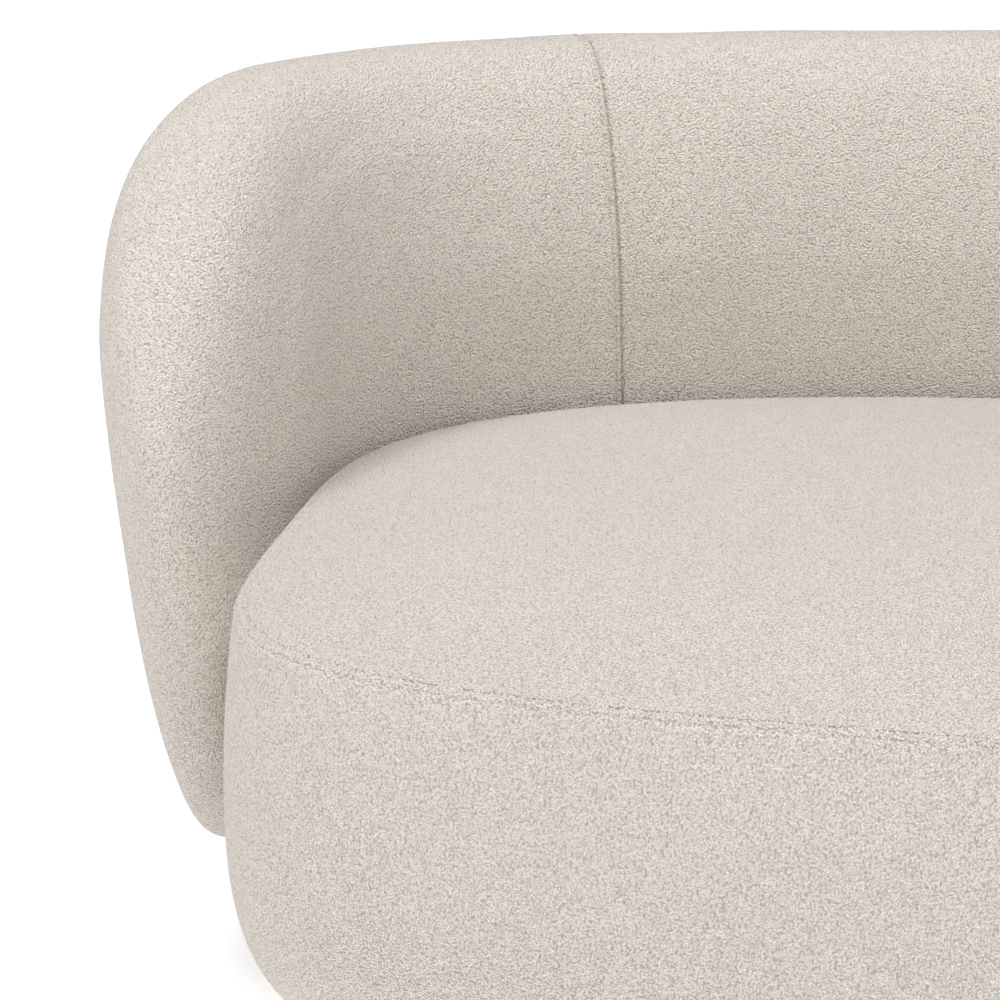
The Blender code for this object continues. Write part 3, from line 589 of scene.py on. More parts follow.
def fill_cover(piece):
    """Shrink a cover, fill it, keep the calm part of its swelling, and subdivide it once."""
    mesh = piece.data
    drawn = corners_of(mesh)
    away = eased(attribute_of(mesh, "from_seam"), 0, EASE_WIDTH)
    normals = normals_of(mesh)
    small = drawn - normals * (START_SMALLER * away)[:, None]
    filled = drawn
    mesh.vertices.foreach_set("co", small.ravel())
    filled = blow_up(piece)
    swelling = ((filled - drawn) * normals).sum(1)
    kept = np.maximum(FILL_LIMIT * np.tanh(calmed(mesh, swelling) / FILL_LIMIT) - SETTLED, -SINK_LIMIT)
    mesh.vertices.foreach_set("co", (drawn + normals * (kept * away)[:, None]).ravel())
    mesh.update()
    smooth = piece.modifiers.new("smooth", "SUBSURF")
    smooth.levels = smooth.render_levels = 1
    swap_mesh(piece, baked_mesh(piece))
    return swelling.max()


for name, piece in covers.items():
    print(name, "swelled by", round(fill_cover(piece) * 1000, 1), "mm before the limit;",
          len(piece.data.polygons), "faces")

# %% [markdown]
# ## Seams and stitching
# At a seam both cloths turn in, so the seam is a narrow valley. Beside it, the turned-in cloth
# makes a flat ridge, and a row of stitches holds that ridge down. The valley and the ridge are
# pressed into the mesh, whose rows are close enough there to carry them, and a seam shade value is kept
# at each corner: painted shade that darkens the cloth's colour in the valley and along the stitch line.
# The covers also get a slow unevenness, since foam and hand-stretched cloth are never quite even.

# %% Press the seams in
STITCH_LINE = 0.0070
SEAM_VALLEY = 0.0028
VALLEY_WIDTH = 0.0021
RIDGE = 0.0007
STITCH_VALLEY = 0.0015
STITCH_WIDTH = 0.0011
# painted shade: how wide the seam's darkening is, and how strongly the stitch line is darkened
SEAM_SHADE_WIDTH = 0.0016
STITCH_LINE_SHADE = 0.45
UNEVEN = 0.0016
UNEVEN_SIZE = 0.13


def seam_relief(distance, stitched):
    """Height of the cloth's surface at a distance from the seam."""
    relief = -SEAM_VALLEY * np.exp(-(distance / VALLEY_WIDTH) ** 1.5)
    if stitched:
        relief += RIDGE * np.exp(-((distance - STITCH_LINE / 2) / (STITCH_LINE / 3)) ** 2)
        relief -= STITCH_VALLEY * np.exp(-((distance - STITCH_LINE) / STITCH_WIDTH) ** 2)
    return relief


def slow_unevenness(places):
    """A smooth, repeatable wander of the surface."""
    return np.array([noise.noise(Vector(place) / UNEVEN_SIZE) for place in places])


def press_seams(piece, stitched):
    mesh = piece.data
    distance = attribute_of(mesh, "from_seam")
    places = corners_of(mesh)
    relief = seam_relief(distance, stitched)
    relief += UNEVEN * slow_unevenness(places) * eased(distance, STITCH_LINE, EASE_WIDTH)
    mesh.vertices.foreach_set("co", (places + normals_of(mesh) * relief[:, None]).ravel())
    # painted shade: the colour is darkened in the seam's valley and, on stitched covers, along the stitch
    # line
    seam_shade = np.exp(-(distance / SEAM_SHADE_WIDTH) ** 2)
    if stitched:
        seam_shade += STITCH_LINE_SHADE * np.exp(-((distance - STITCH_LINE) / STITCH_WIDTH) ** 2)
    mesh.attributes.new("seam_shade", "FLOAT", "POINT").data.foreach_set("value", seam_shade)
    mesh.update()


STITCHED = ("arm_upholstery_left", "arm_upholstery_right", "seat_top_panel")
for name, piece in covers.items():
    press_seams(piece, name in STITCHED)
print("pressed", len(covers), "covers")

# %% Sew the stitches
STITCH_SPACING = 0.0062
STITCH_HALF = Vector((0.0021, 0.00042, 0.00034))
STITCH_FACETS = (6, 4)
BATCH = 60


def one_stitch():
    """A small pod of a few dozen faces."""
    bm = bmesh.new()
    bmesh.ops.create_uvsphere(bm, u_segments=STITCH_FACETS[0], v_segments=STITCH_FACETS[1], radius=1.0)
    return bm


def repeated(source, placements):
    """One bmesh with a copy of the source at each placement; joining meshes in steps keeps it quick."""
    single = bpy.data.meshes.new("single")
    source.to_mesh(single)
    source.free()
    row = bmesh.new()
    for start in range(0, len(placements), BATCH):
        batch = bmesh.new()
        for placement in placements[start:start + BATCH]:
            copy = single.copy()
            copy.transform(placement)
            batch.from_mesh(copy)
            bpy.data.meshes.remove(copy)
        joined = bpy.data.meshes.new("joined")
        batch.to_mesh(joined)
        batch.free()
        row.from_mesh(joined)
        bpy.data.meshes.remove(joined)
    bpy.data.meshes.remove(single)
    return row


def stitch_row(piece):
    """Places and normals along the stitch line, in order round the seam."""
    mesh = piece.data
    chosen = np.abs(attribute_of(mesh, "from_seam") - STITCH_LINE) < SEAM_STEP / 4
    places = corners_of(mesh)[chosen]
    centred = places - places.mean(0)
    axes = np.linalg.svd(centred, full_matrices=False)[2]
    order = np.argsort(np.arctan2(centred @ axes[1], centred @ axes[0]))
    return places[order], normals_of(mesh)[chosen][order]


def sew(name, piece):
    """A closed row of small stitches, each lying along the row on the cloth."""
    places, normals = stitch_row(piece)
    places = np.vstack([places, places[:1]])
    normals = np.vstack([normals, normals[:1]])
    run = np.concatenate([[0.0], np.cumsum(np.linalg.norm(np.diff(places, axis=0), axis=1))])
    count = round(run[-1] / STITCH_SPACING)
    at = np.arange(count) * run[-1] / count
    spots, ahead, up = (np.stack([np.interp(where, run, rows[:, k]) for k in range(3)], 1)
                        for where, rows in ((at, places), (at + STITCH_HALF.x, places), (at, normals)))
    turns = []
    for spot, front, normal in zip(spots, ahead, up):
        along = Vector(front - spot).normalized()
        raised = Vector(normal - np.dot(normal, along) * np.array(along)).normalized()
        turn = Matrix((along, raised.cross(along), raised)).transposed().to_4x4()
        place = Matrix.Translation(Vector(spot) + raised * STITCH_HALF.z / 2)
        turns.append(place @ turn @ Matrix.Diagonal((*STITCH_HALF, 1.0)))
    return piece_from(name, repeated(one_stitch(), turns)), count


stitches = {}
for name, source in zip(("arm_stitches_left", "arm_stitches_right", "seat_stitches"), STITCHED):
    stitches[name], count = sew(name, covers[source])
    print(name, count, "stitches")

# %% [markdown]
# ## Legs, glides and ironwork
# The legs are turned on a lathe, so each is a profile spun round its axis, with eased edges.
# They stand exactly where the imported legs stand, read from their boxes.
# Screws and plates are also spun or cut from plain sheet, with bevelled edges that catch light.

# %% Spin a profile
LATHE_STEPS = 48


def spun(bm, profile, place, steps):
    """Spin a profile of (radius, z) points round a vertical axis through place."""
    verts = [bm.verts.new((place.x + radius, place.y, z)) for radius, z in profile]
    edges = [bm.edges.new(pair) for pair in zip(verts, verts[1:])]
    bmesh.ops.spin(bm, geom=verts + edges, cent=(place.x, place.y, 0), axis=(0, 0, 1),
                   angle=2 * math.pi, steps=steps, use_merge=True)


def middle_of(node):
    low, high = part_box(node)
    return (low + high) / 2


def arc(centre, radius, start, end, steps):
    """Points of an arc in a profile, from one angle in degrees to another."""
    angles = [math.radians(start + (end - start) * k / steps) for k in range(steps + 1)]
    return [(centre[0] + radius * math.cos(turn), centre[1] + radius * math.sin(turn)) for turn in angles]


print("an arc of", len(arc((0, 0), 1, 0, 90, 4)), "points")

# %% Turned legs and glides
LEG_PLACES = ("front_left", "front_right", "rear_left", "rear_right", "middle")
FOOT_EASE = 0.003
FOOT_MARGIN = 0.006         # how far the foot stands out past its glide
TOP_EASE = 0.0015
GLIDE_EASE = 0.0012


def disc_profile(low, high, radius, ease, steps):
    """Up a disc's side from the middle of its foot, with both rims rounded."""
    rim = radius - ease
    return ([(0.0, low)] + arc((rim, low + ease), ease, -90, 0, steps)
            + arc((rim, high - ease), ease, 0, 90, steps) + [(0.0, high)])


def leg_profile(low, high, foot, top):
    """From the middle of the foot out, up the taper and in over the top."""
    return ([(0.0, low)] + arc((foot - FOOT_EASE, low + FOOT_EASE), FOOT_EASE, -90, -8, 4)
            + arc((top - TOP_EASE, high - TOP_EASE), TOP_EASE, -8, 90, 4) + [(0.0, high)])


def turned_leg(place_name):
    node = "leg_" + place_name
    low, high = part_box(node)
    foot = (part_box("glide_" + place_name)[1].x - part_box("glide_" + place_name)[0].x) / 2 + FOOT_MARGIN
    bm = bmesh.new()
    spun(bm, leg_profile(low.z, high.z, foot, (high.x - low.x) / 2), middle_of(node), LATHE_STEPS)
    bmesh.ops.remove_doubles(bm, verts=bm.verts[:], dist=SAME_PLACE)
    return piece_from("turned_leg_" + place_name, bm)


def felted_glide(place_name):
    node = "glide_" + place_name
    low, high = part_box(node)
    radius = (high.x - low.x) / 2
    bm = bmesh.new()
    spun(bm, disc_profile(low.z, high.z, radius, GLIDE_EASE, 4), middle_of(node), LATHE_STEPS)
    bmesh.ops.remove_doubles(bm, verts=bm.verts[:], dist=SAME_PLACE)
    return piece_from("turned_glide_" + place_name, bm)


legs = {place: turned_leg(place) for place in LEG_PLACES}
glides = {place: felted_glide(place) for place in LEG_PLACES}
print(len(legs), "legs and", len(glides), "glides")

# %% Screws and plates
SCREW_HEAD_RADIUS = 0.0042
SCREW_HEAD = 0.0016
SCREW_SOCKET_RADIUS = 0.0019
SCREW_STEPS = 12
PLATE_EDGE = 0.0006
BAR_CORNER = 0.006
BAR_SCREWS = (-0.82, -0.5, 0.5, 0.82)   # places along the bar, as shares of its half length


def screw_head(bm, place):
    """A domed head under a plate at place, with a six-sided socket."""
    top = place.z - SCREW_HEAD
    dome = arc((SCREW_HEAD_RADIUS - SCREW_HEAD, place.z), SCREW_HEAD, 0, -90, 3)
    profile = [(SCREW_HEAD_RADIUS, place.z + PLATE_EDGE)] + dome
    floor_of_socket = place.z - SCREW_HEAD / 3
    profile += [(SCREW_SOCKET_RADIUS, top), (SCREW_SOCKET_RADIUS, floor_of_socket), (0.0, floor_of_socket)]
    before = set(bm.verts)
    spun(bm, profile, place, SCREW_STEPS)
    for vert in set(bm.verts) - before:
        arm = Vector((vert.co.x - place.x, vert.co.y - place.y))
        if abs(arm.length - SCREW_SOCKET_RADIUS) < 1e-5:
            turn = math.atan2(arm.y, arm.x) % (math.pi / 3) - math.pi / 6
            arm *= math.cos(math.pi / 6) / math.cos(turn)
            vert.co.x, vert.co.y = place.x + arm.x, place.y + arm.y


def leg_plate(place_name):
    """A pressed round plate with a softened rim, between the leg and the frame."""
    node = "leg_plate_" + place_name
    low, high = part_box(node)
    radius = (high.x - low.x) / 2
    bm = bmesh.new()
    spun(bm, disc_profile(low.z, high.z, radius, PLATE_EDGE, 3), middle_of(node), LATHE_STEPS)
    bmesh.ops.remove_doubles(bm, verts=bm.verts[:], dist=SAME_PLACE)
    return piece_from("pressed_plate_" + place_name, bm)


def joining_bar(side):
    """A flat steel bar with rounded corners, two screws at each end."""
    node = "joining_plate_" + side
    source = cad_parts[node].data
    corners = corners_of(source)
    centre = corners.mean(0)
    flat = corners[:, :2] - centre[:2]
    axes = np.linalg.svd(flat - flat.mean(0), full_matrices=False)[2]
    half = np.abs(flat @ axes.T).max(0)
    low, high = corners[:, 2].min(), corners[:, 2].max()
    bm = bmesh.new()
    bmesh.ops.create_cube(bm, size=1.0)
    bmesh.ops.scale(bm, vec=(2 * half[0], 2 * half[1], high - low), verts=bm.verts[:])
    upright = [edge for edge in bm.edges if abs(edge.verts[0].co.z - edge.verts[1].co.z) > PLATE_EDGE]
    bmesh.ops.bevel(bm, geom=upright, offset=BAR_CORNER, affect="EDGES", segments=5, profile=0.5,
                    material=-1)
    level = [edge for edge in bm.edges if abs(edge.verts[0].co.z - edge.verts[1].co.z) < PLATE_EDGE]
    bmesh.ops.bevel(bm, geom=level, offset=PLATE_EDGE, affect="EDGES", segments=2, profile=0.5,
                    material=-1)
    for along in BAR_SCREWS:
        screw_head(bm, Vector((half[0] * along, 0, (low - high) / 2)))
    turn = Matrix.Rotation(math.atan2(axes[0][1], axes[0][0]), 4, "Z")
    middle = Matrix.Translation((*centre[:2], (low + high) / 2))
    bmesh.ops.transform(bm, matrix=middle @ turn, verts=bm.verts[:])
    bmesh.ops.remove_doubles(bm, verts=bm.verts[:], dist=SAME_PLACE)
    return piece_from("joining_bar_" + side, bm)


plates = {place: leg_plate(place) for place in LEG_PLACES if place != "middle"}
bars = {side: joining_bar(side) for side in ("left", "middle", "right")}
print(len(plates), "leg plates,", len(bars), "joining bars")

# %% [markdown]
# ## The dust cover
# Under the seat, a thin black non-woven cloth is pulled tight over the frame and stapled round its
# edge. It is one flat sheet cut to the seat's outline, so square rings of a grid are carried to
# smaller and smaller copies of that outline.

# %% Stretch the dust cover and staple it
HEM = 0.012
HEM_THICKNESS = 0.0006
STAPLE_SPACING = 0.055
DUST_EDGE = 4.2             # length of the sheet's edge, near enough to count staples
STAPLE_HALF = Vector((0.0060, 0.0006, 0.0004))
DUST_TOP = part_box("dust_cover")[1].z
DUST_INSET = BOTTOM_TUCK + COVER_RETURN + 0.0004
DUST_GRID = 64


def dust_sheet(name):
    """The cut sheet: square rings carried to smaller copies of the outline."""
    rings = DUST_GRID // 2

    def place(i, j):
        ring, turn = square_rings(i, j, rings)
        turns = np.interp(turn, range(AROUND_SEAT + 1), SEAT_TURNS)
        middle = np.array([0.0, WIDEST_Y])
        share = ring / rings
        plan = middle + (outline(turns, DUST_INSET) - middle) * share[:, None]
        level = np.full(len(plan), DUST_TOP - HEM_THICKNESS)
        return np.column_stack([plan, level]), 1 - share

    return bent_sheet(name, 2 * rings, 2 * rings, place)


def outline_area(inset):
    """The area inside an outline, from its corners."""
    rim = outline(SEAT_TURNS[:-1], inset)
    return abs(np.sum(rim[:, 0] * np.roll(rim[:, 1], -1) - np.roll(rim[:, 0], -1) * rim[:, 1])) / 2


def staples(name):
    """Wire staples across the cloth's edge, all round."""
    count = round(DUST_EDGE / STAPLE_SPACING)
    turns = evenly(SEAT_TURNS, outline(SEAT_TURNS, DUST_INSET + HEM), count)[:-1]
    spots = outline(turns, DUST_INSET + HEM)
    ahead = outline(turns + 1e-3, DUST_INSET + HEM)
    bm = bmesh.new()
    for spot, front in zip(spots, ahead):
        turn = Matrix.Rotation(math.atan2(*(front - spot)[::-1]), 4, "Z")
        place = Matrix.Translation((*spot, UNDERSIDE_Z - STAPLE_HALF.z / 2))
        made = bmesh.ops.create_cube(bm, size=2.0, matrix=place @ turn @ Matrix.Diagonal((*STAPLE_HALF, 1)))
        edges = list({edge for vert in made["verts"] for edge in vert.link_edges})
        bmesh.ops.bevel(bm, geom=edges, offset=STAPLE_HALF.z / 2, affect="EDGES", segments=1, profile=0.5,
                        material=-1)
    return piece_from(name, bm), len(spots)


dust_cloth = dust_sheet("dust_cloth")
staple_row, staple_count = staples("staple_row")
print("dust cloth of", round(outline_area(DUST_INSET), 3), "square metres,", staple_count, "staples")

# %% [markdown]
# ## Shader sums
# A procedural finish is a sum of patterns. Writing it as Python expressions keeps it readable: the
# class below wraps a shader socket, and each operator adds one Math node. Colours are mixed by Mix
# nodes instead, because a Math node would turn them grey.

# %% Wrap a socket
class Socket:
    """A shader socket that takes part in Python sums."""

    def __init__(self, finish, socket):
        self.finish = finish
        self.socket = socket

    def output(self, name):
        """Another output of the same node."""
        return Socket(self.finish, self.socket.node.outputs[name])

    def maths(self, operation, *values):
        settings = {"operation": operation}
        return self.finish.node("ShaderNodeMath", settings, dict(enumerate(values)))

    def __add__(self, other):
        return self.maths("ADD", self, other)

    def __sub__(self, other):
        return self.maths("SUBTRACT", self, other)

    def __rsub__(self, other):
        return self.maths("SUBTRACT", other, self)

    def __mul__(self, other):
        return self.maths("MULTIPLY", self, other)

    def __truediv__(self, other):
        return self.maths("DIVIDE", self, other)

    def __pow__(self, other):
        return self.maths("POWER", self, other)

    def at_most(self, other):
        return self.maths("MINIMUM", self, other)

    def size(self):
        return self.maths("ABSOLUTE", self)

    def sine(self):
        return self.maths("SINE", self)

    __radd__ = __add__
    __rmul__ = __mul__


class Finish:
    """A material, its Principled shader, and the nodes that feed it."""

    def __init__(self, name, **constants):
        self.material = bpy.data.materials.new(name)
        self.material.use_nodes = True
        self.tree = self.material.node_tree
        self.shader = self.tree.nodes["Principled BSDF"]
        for socket, value in constants.items():
            self.shader.inputs[socket.replace("_", " ")].default_value = value

    def node(self, kind, settings=None, values=None, output=0):
        """Add a node: its settings first, then the values or links of its sockets."""
        made = self.tree.nodes.new(kind)
        settings = dict(settings or {})
        for position, colour in settings.pop("stops", []):
            stops = made.color_ramp.elements
            stop = stops[0] if position == 0 else stops[1] if position == 1 else stops.new(position)
            stop.color = (*colour, 1.0)
        for setting, value in settings.items():
            setattr(made, setting, value)
        for key, value in (values or {}).items():
            self.feed(made.inputs[key], value)
        return Socket(self, made.outputs[output])

    def feed(self, socket, value):
        if isinstance(value, Socket):
            self.tree.links.new(value.socket, socket)
        elif socket.type == "RGBA" and len(value) == 3:
            socket.default_value = (*value, 1.0)
        else:
            socket.default_value = value

    def place(self, scale=(1, 1, 1), turn=(0, 0, 0)):
        """The point's own place in metres, scaled and turned."""
        own = self.node("ShaderNodeTexCoord", output="Object")
        return self.node("ShaderNodeMapping", {}, {"Vector": own, "Scale": scale, "Rotation": turn})

    def own(self, name):
        """A value that the piece's own mesh keeps at each corner."""
        return self.node("ShaderNodeAttribute", {"attribute_name": name}, output="Fac")

    def shifted(self, place, by, reach):
        """The place moved by a pattern's colour, up to reach each way."""
        centred = self.node("ShaderNodeVectorMath", {"operation": "SUBTRACT"}, {0: by, 1: (0.5, 0.5, 0.5)})
        scaled = self.node("ShaderNodeVectorMath", {"operation": "SCALE"}, {0: centred, "Scale": reach})
        return self.node("ShaderNodeVectorMath", {"operation": "ADD"}, {0: place, 1: scaled})

    def noise(self, place, size, detail=2.0, roughness=0.5, distortion=0.0):
        """A cloudy pattern whose features are about size metres across, as a value from 0 to 1."""
        values = {"Vector": place, "Scale": 1 / size, "Detail": detail, "Roughness": roughness,
                  "Distortion": distortion}
        return self.node("ShaderNodeTexNoise", {}, values)

    def cells(self, place, size, feature="F1", randomness=1.0):
        """Distance to the nearest of many scattered points, size metres apart."""
        values = {"Vector": place, "Scale": 1 / size, "Randomness": randomness}
        return self.node("ShaderNodeTexVoronoi", {"feature": feature}, values)

    def mix(self, share, first, second):
        """One colour turning into another."""
        return self.node("ShaderNodeMix", {"data_type": "RGBA"}, {0: share, 6: first, 7: second}, output=2)

    def between(self, value, low, high, to_low=0.0, to_high=1.0):
        """The value carried from one range to another and kept inside it."""
        values = {"Value": value, "From Min": low, "From Max": high, "To Min": to_low, "To Max": to_high}
        return self.node("ShaderNodeMapRange", {"clamp": True}, values)

    def surface(self, colour=None, roughness=None, height=None, depth=0.001, metallic=None):
        """Feed the shader: colour, roughness, and a height pattern that is depth metres deep."""
        for socket, value in (("Base Color", colour), ("Roughness", roughness), ("Metallic", metallic)):
            if value is not None:
                self.feed(self.shader.inputs[socket], value)
        if height is not None:
            bump = self.node("ShaderNodeBump", {}, {"Height": height, "Distance": depth, "Strength": 1.0})
            self.feed(self.shader.inputs["Normal"], bump)
        return self.material


print("shader sums are ready")

# %% [markdown]
# ## Boucle
# Boucle yarn is spun with small loops that curl over one another, so the cloth looks pebbled: round
# knots a few millimetres across with small shaded gaps between them. Scattered cells make the knots,
# half-sized cells make the curls on them, and fine threads run over both. The colour is darkened in the
# gaps and along the seams as painted shade, from a seam shade value that each cover keeps at its corners.

# %% The boucle cloth
KNOT = 0.0019
KNOT_DEPTH = 0.0030
THREAD = 0.0008
IVORY = (0.92, 0.845, 0.775)
# painted shade: the colour that the gaps between the knots and the seams are darkened towards
CREVICE_SHADE = (0.50, 0.42, 0.345)


def boucle():
    cloth = Finish("boucle", Roughness=0.92, Sheen_Weight=0.2, Sheen_Roughness=0.55,
                   Specular_IOR_Level=0.25)
    place = cloth.place()
    knot = cloth.cells(place, KNOT)
    curl = cloth.cells(place, KNOT * 0.55)
    threads = cloth.noise(place, THREAD, detail=1.0)
    height = 1.4 - knot - curl * 0.2 + threads * 0.2
    # painted shade in the gaps between the knots, where the knots shade one another
    gap_shade = cloth.between(knot + curl * 0.25, 0.56, 1.0)
    patch = cloth.between(cloth.noise(place, 0.16, detail=3.0), 0.3, 0.7)
    ivory = cloth.mix(patch, tuple(c * 0.975 for c in IVORY), IVORY)
    # painted shade along the seams and stitch lines, as kept by each cover at its corners
    seam_shade = cloth.own("seam_shade")
    colour = cloth.mix((gap_shade * 0.75 + seam_shade * (0.3 + gap_shade * 0.4)).at_most(0.9), ivory, CREVICE_SHADE)
    return cloth.surface(colour, height=height, depth=KNOT_DEPTH)


def sewing_thread():
    thread = Finish("sewing_thread", Roughness=0.75, Sheen_Weight=0.2)
    place = thread.place()
    twist = thread.noise(place, 0.0004, detail=1.0)
    colour = thread.mix(twist, tuple(c * 0.84 for c in IVORY), IVORY)
    return thread.surface(colour, height=twist, depth=0.00015)


BOUCLE = boucle()
THREAD_FINISH = sewing_thread()
print("boucle with", len(BOUCLE.node_tree.nodes), "nodes")

# %% [markdown]
# ## Wood, metal and what lies inside
# The legs are oiled oak, whose rings are long ellipses on a tapered leg, with fine dark pores. The
# frame inside is birch plywood and pine; plywood shows its plies as even stripes on every cut
# edge. Foam is a net of tiny cells, wadding a felt of fibres, and webbing a coarse weave.

# %% Woods
OAK_LIGHT = (0.50, 0.31, 0.155)
OAK_DARK = (0.27, 0.145, 0.062)
PLY_THICKNESS = 0.0026


def oak():
    wood = Finish("oiled_oak", Coat_Weight=0.15, Coat_Roughness=0.35)
    place = wood.place()
    wander = wood.noise(place, 0.05, detail=2.0).output("Color")
    along = wood.node("ShaderNodeMapping", {},
                      {"Vector": wood.shifted(place, wander, 0.012), "Scale": (1, 1, 0.09)})
    rings = wood.node("ShaderNodeTexWave",
                      {"wave_type": "RINGS", "rings_direction": "Z", "wave_profile": "SAW"},
                      {"Vector": along, "Scale": 62.0, "Distortion": 3.0, "Detail": 3.0,
                       "Detail Scale": 1.6})
    pores = wood.noise(wood.place(scale=(1, 1, 0.035)), 0.0009, detail=2.0)
    pore = wood.between(pores, 0.60, 0.72)
    colour = wood.mix(rings.output("Fac"), OAK_LIGHT, OAK_DARK)
    colour = wood.mix(pore * 0.75, colour, (0.12, 0.06, 0.026))
    height = rings.output("Fac") * -0.3 - pore
    roughness = 0.38 + pore * 0.3 + rings.output("Fac") * 0.08
    return wood.surface(colour, roughness=roughness, height=height, depth=0.00022)


def plywood():
    wood = Finish("birch_plywood", Specular_IOR_Level=0.35)
    place = wood.place()
    levels = wood.node("ShaderNodeSeparateXYZ", {}, {"Vector": place}).output("Z")
    plies = (levels * (math.pi / PLY_THICKNESS)).sine()
    band = wood.between(plies, -0.25, 0.25)
    grain = wood.noise(wood.place(scale=(0.06, 1, 1)), 0.003, detail=3.0)
    colour = wood.mix(band, (0.40, 0.26, 0.13), (0.66, 0.50, 0.31))
    colour = wood.mix(wood.between(grain, 0.45, 0.75) * 0.45, colour, (0.50, 0.34, 0.18))
    return wood.surface(colour, roughness=0.62 + grain * 0.2, height=grain + band * 0.3, depth=0.0003)


def pine():
    wood = Finish("pine_board")
    place = wood.place()
    wander = wood.noise(place, 0.12, detail=2.0).output("Color")
    bent = wood.node("ShaderNodeMapping", {},
                     {"Vector": wood.shifted(place, wander, 0.03), "Scale": (1, 0.12, 1)})
    rings = wood.node("ShaderNodeTexWave", {"wave_type": "BANDS", "bands_direction": "DIAGONAL"},
                      {"Vector": bent, "Scale": 38.0, "Distortion": 2.5, "Detail": 2.0}).output("Fac")
    fibre = wood.noise(wood.place(scale=(1, 0.05, 1)), 0.0012, detail=2.0)
    colour = wood.mix(rings ** 2.5, (0.78, 0.60, 0.37), (0.60, 0.37, 0.17))
    colour = wood.mix(fibre * 0.35, colour, (0.83, 0.68, 0.47))
    return wood.surface(colour, roughness=0.58 + fibre * 0.2, height=fibre + rings * 0.4, depth=0.0003)


def hardboard():
    board = Finish("hardboard")
    place = board.place()
    flake = board.cells(place, 0.0035, randomness=1.0).output("Color")
    fibre = board.noise(place, 0.0012, detail=3.0)
    colour = board.mix(fibre, (0.25, 0.145, 0.072), (0.46, 0.30, 0.17))
    colour = board.mix(0.22, colour, board.mix(flake, (0.20, 0.12, 0.06), (0.50, 0.36, 0.22)))
    return board.surface(colour, roughness=0.6 + fibre * 0.25, height=fibre, depth=0.0002)


print("woods are ready")

# %% Metal, plastic and the soft layers inside
def zinc_steel():
    steel = Finish("zinc_plated_steel", Metallic=1.0)
    place = steel.place()
    spangle = steel.cells(place, 0.004).output("Color")
    brushed = steel.noise(steel.place(scale=(1, 0.06, 1)), 0.0006, detail=2.0)
    stain = steel.noise(place, 0.014, detail=3.0)
    colour = steel.mix(spangle, (0.55, 0.55, 0.54), (0.70, 0.70, 0.68))
    colour = steel.mix(steel.between(stain, 0.52, 0.75) * 0.35, colour, (0.42, 0.40, 0.35))
    roughness = 0.26 + brushed * 0.16 + stain * 0.1
    return steel.surface(colour, roughness=roughness, height=brushed, depth=0.00006)


def nylon():
    plastic = Finish("black_nylon", Specular_IOR_Level=0.5)
    place = plastic.place()
    grain = plastic.noise(place, 0.0006, detail=2.0)
    wear = plastic.between(plastic.noise(place, 0.005, detail=3.0), 0.5, 0.8)
    colour = plastic.mix(wear, (0.022, 0.022, 0.023), (0.075, 0.072, 0.068))
    return plastic.surface(colour, roughness=0.42 + wear * 0.3, height=grain, depth=0.00008)


def non_woven():
    cloth = Finish("black_non_woven", Roughness=0.9, Sheen_Weight=0.15)
    place = cloth.place()
    dots = cloth.cells(place, 0.0016, randomness=0.25)
    fibre = cloth.noise(place, 0.0007, detail=3.0, distortion=1.5)
    cloud = cloth.noise(place, 0.03, detail=2.0)
    colour = cloth.mix(fibre * cloud, (0.012, 0.012, 0.013), (0.075, 0.073, 0.072))
    return cloth.surface(colour, height=cloth.between(dots, 0.1, 0.5) + fibre * 0.6, depth=0.00018)


def foam():
    soft = Finish("upholstery_foam", Roughness=0.95, Subsurface_Weight=0.05)
    place = soft.place()
    pores = soft.cells(place, 0.0016)
    tone = soft.noise(place, 0.06, detail=3.0)
    # painted shade: the foam's colour is darkened in the pits of its cells
    colour = soft.mix(soft.between(pores, 0.1, 0.6), (0.55, 0.43, 0.22), (0.88, 0.80, 0.58))
    colour = soft.mix(tone * 0.3, colour, (0.80, 0.66, 0.38))
    return soft.surface(colour, height=pores, depth=0.0005)


def wadding():
    fleece = Finish("polyester_wadding", Roughness=1.0, Sheen_Weight=0.4)
    place = fleece.place()
    fibre = fleece.noise(place, 0.0015, detail=4.0, distortion=2.0)
    clump = fleece.noise(place, 0.025, detail=3.0)
    colour = fleece.mix(fibre, (0.70, 0.70, 0.69), (0.93, 0.93, 0.92))
    return fleece.surface(colour, height=fibre * 0.6 + clump, depth=0.0016)


def webbing():
    strap = Finish("jute_webbing", Roughness=0.88, Sheen_Weight=0.1)
    levels = strap.node("ShaderNodeSeparateXYZ", {}, {"Vector": strap.place()})
    warp = (levels.output("X") * (math.pi / 0.0021)).sine()
    weft = (levels.output("Y") * (math.pi / 0.0021)).sine()
    over = warp * weft
    fibre = strap.noise(strap.place(), 0.0008, detail=3.0)
    stripe = strap.between((levels.output("Y") * (math.pi / 0.023)).sine(), 0.86, 0.92)
    colour = strap.mix(fibre, (0.30, 0.22, 0.12), (0.54, 0.42, 0.26))
    colour = strap.mix(stripe * 0.8, colour, (0.42, 0.07, 0.05))
    # painted shade: the strap's colour is darkened where the weave's threads pass under one another
    colour = strap.mix(strap.between(over, -0.2, 0.4), strap.mix(0.5, colour, (0.14, 0.10, 0.05)), colour)
    return strap.surface(colour, height=over * 0.5 + fibre * 0.5, depth=0.0005)


OAK, PLYWOOD, PINE, HARDBOARD = oak(), plywood(), pine(), hardboard()
STEEL, NYLON, NON_WOVEN = zinc_steel(), nylon(), non_woven()
FOAM, WADDING, WEBBING = foam(), wadding(), webbing()
print("finishes:", [finish.name for finish in bpy.data.materials if finish.use_nodes][-10:])

# %% [markdown]
# ## Give every part its finish, and tie the pieces to the model
# Imported parts that keep their shape get their finish in their material slot. Each new piece is
# given its finish and rides with the sofa's one body, and the imported part it stands for is hidden.

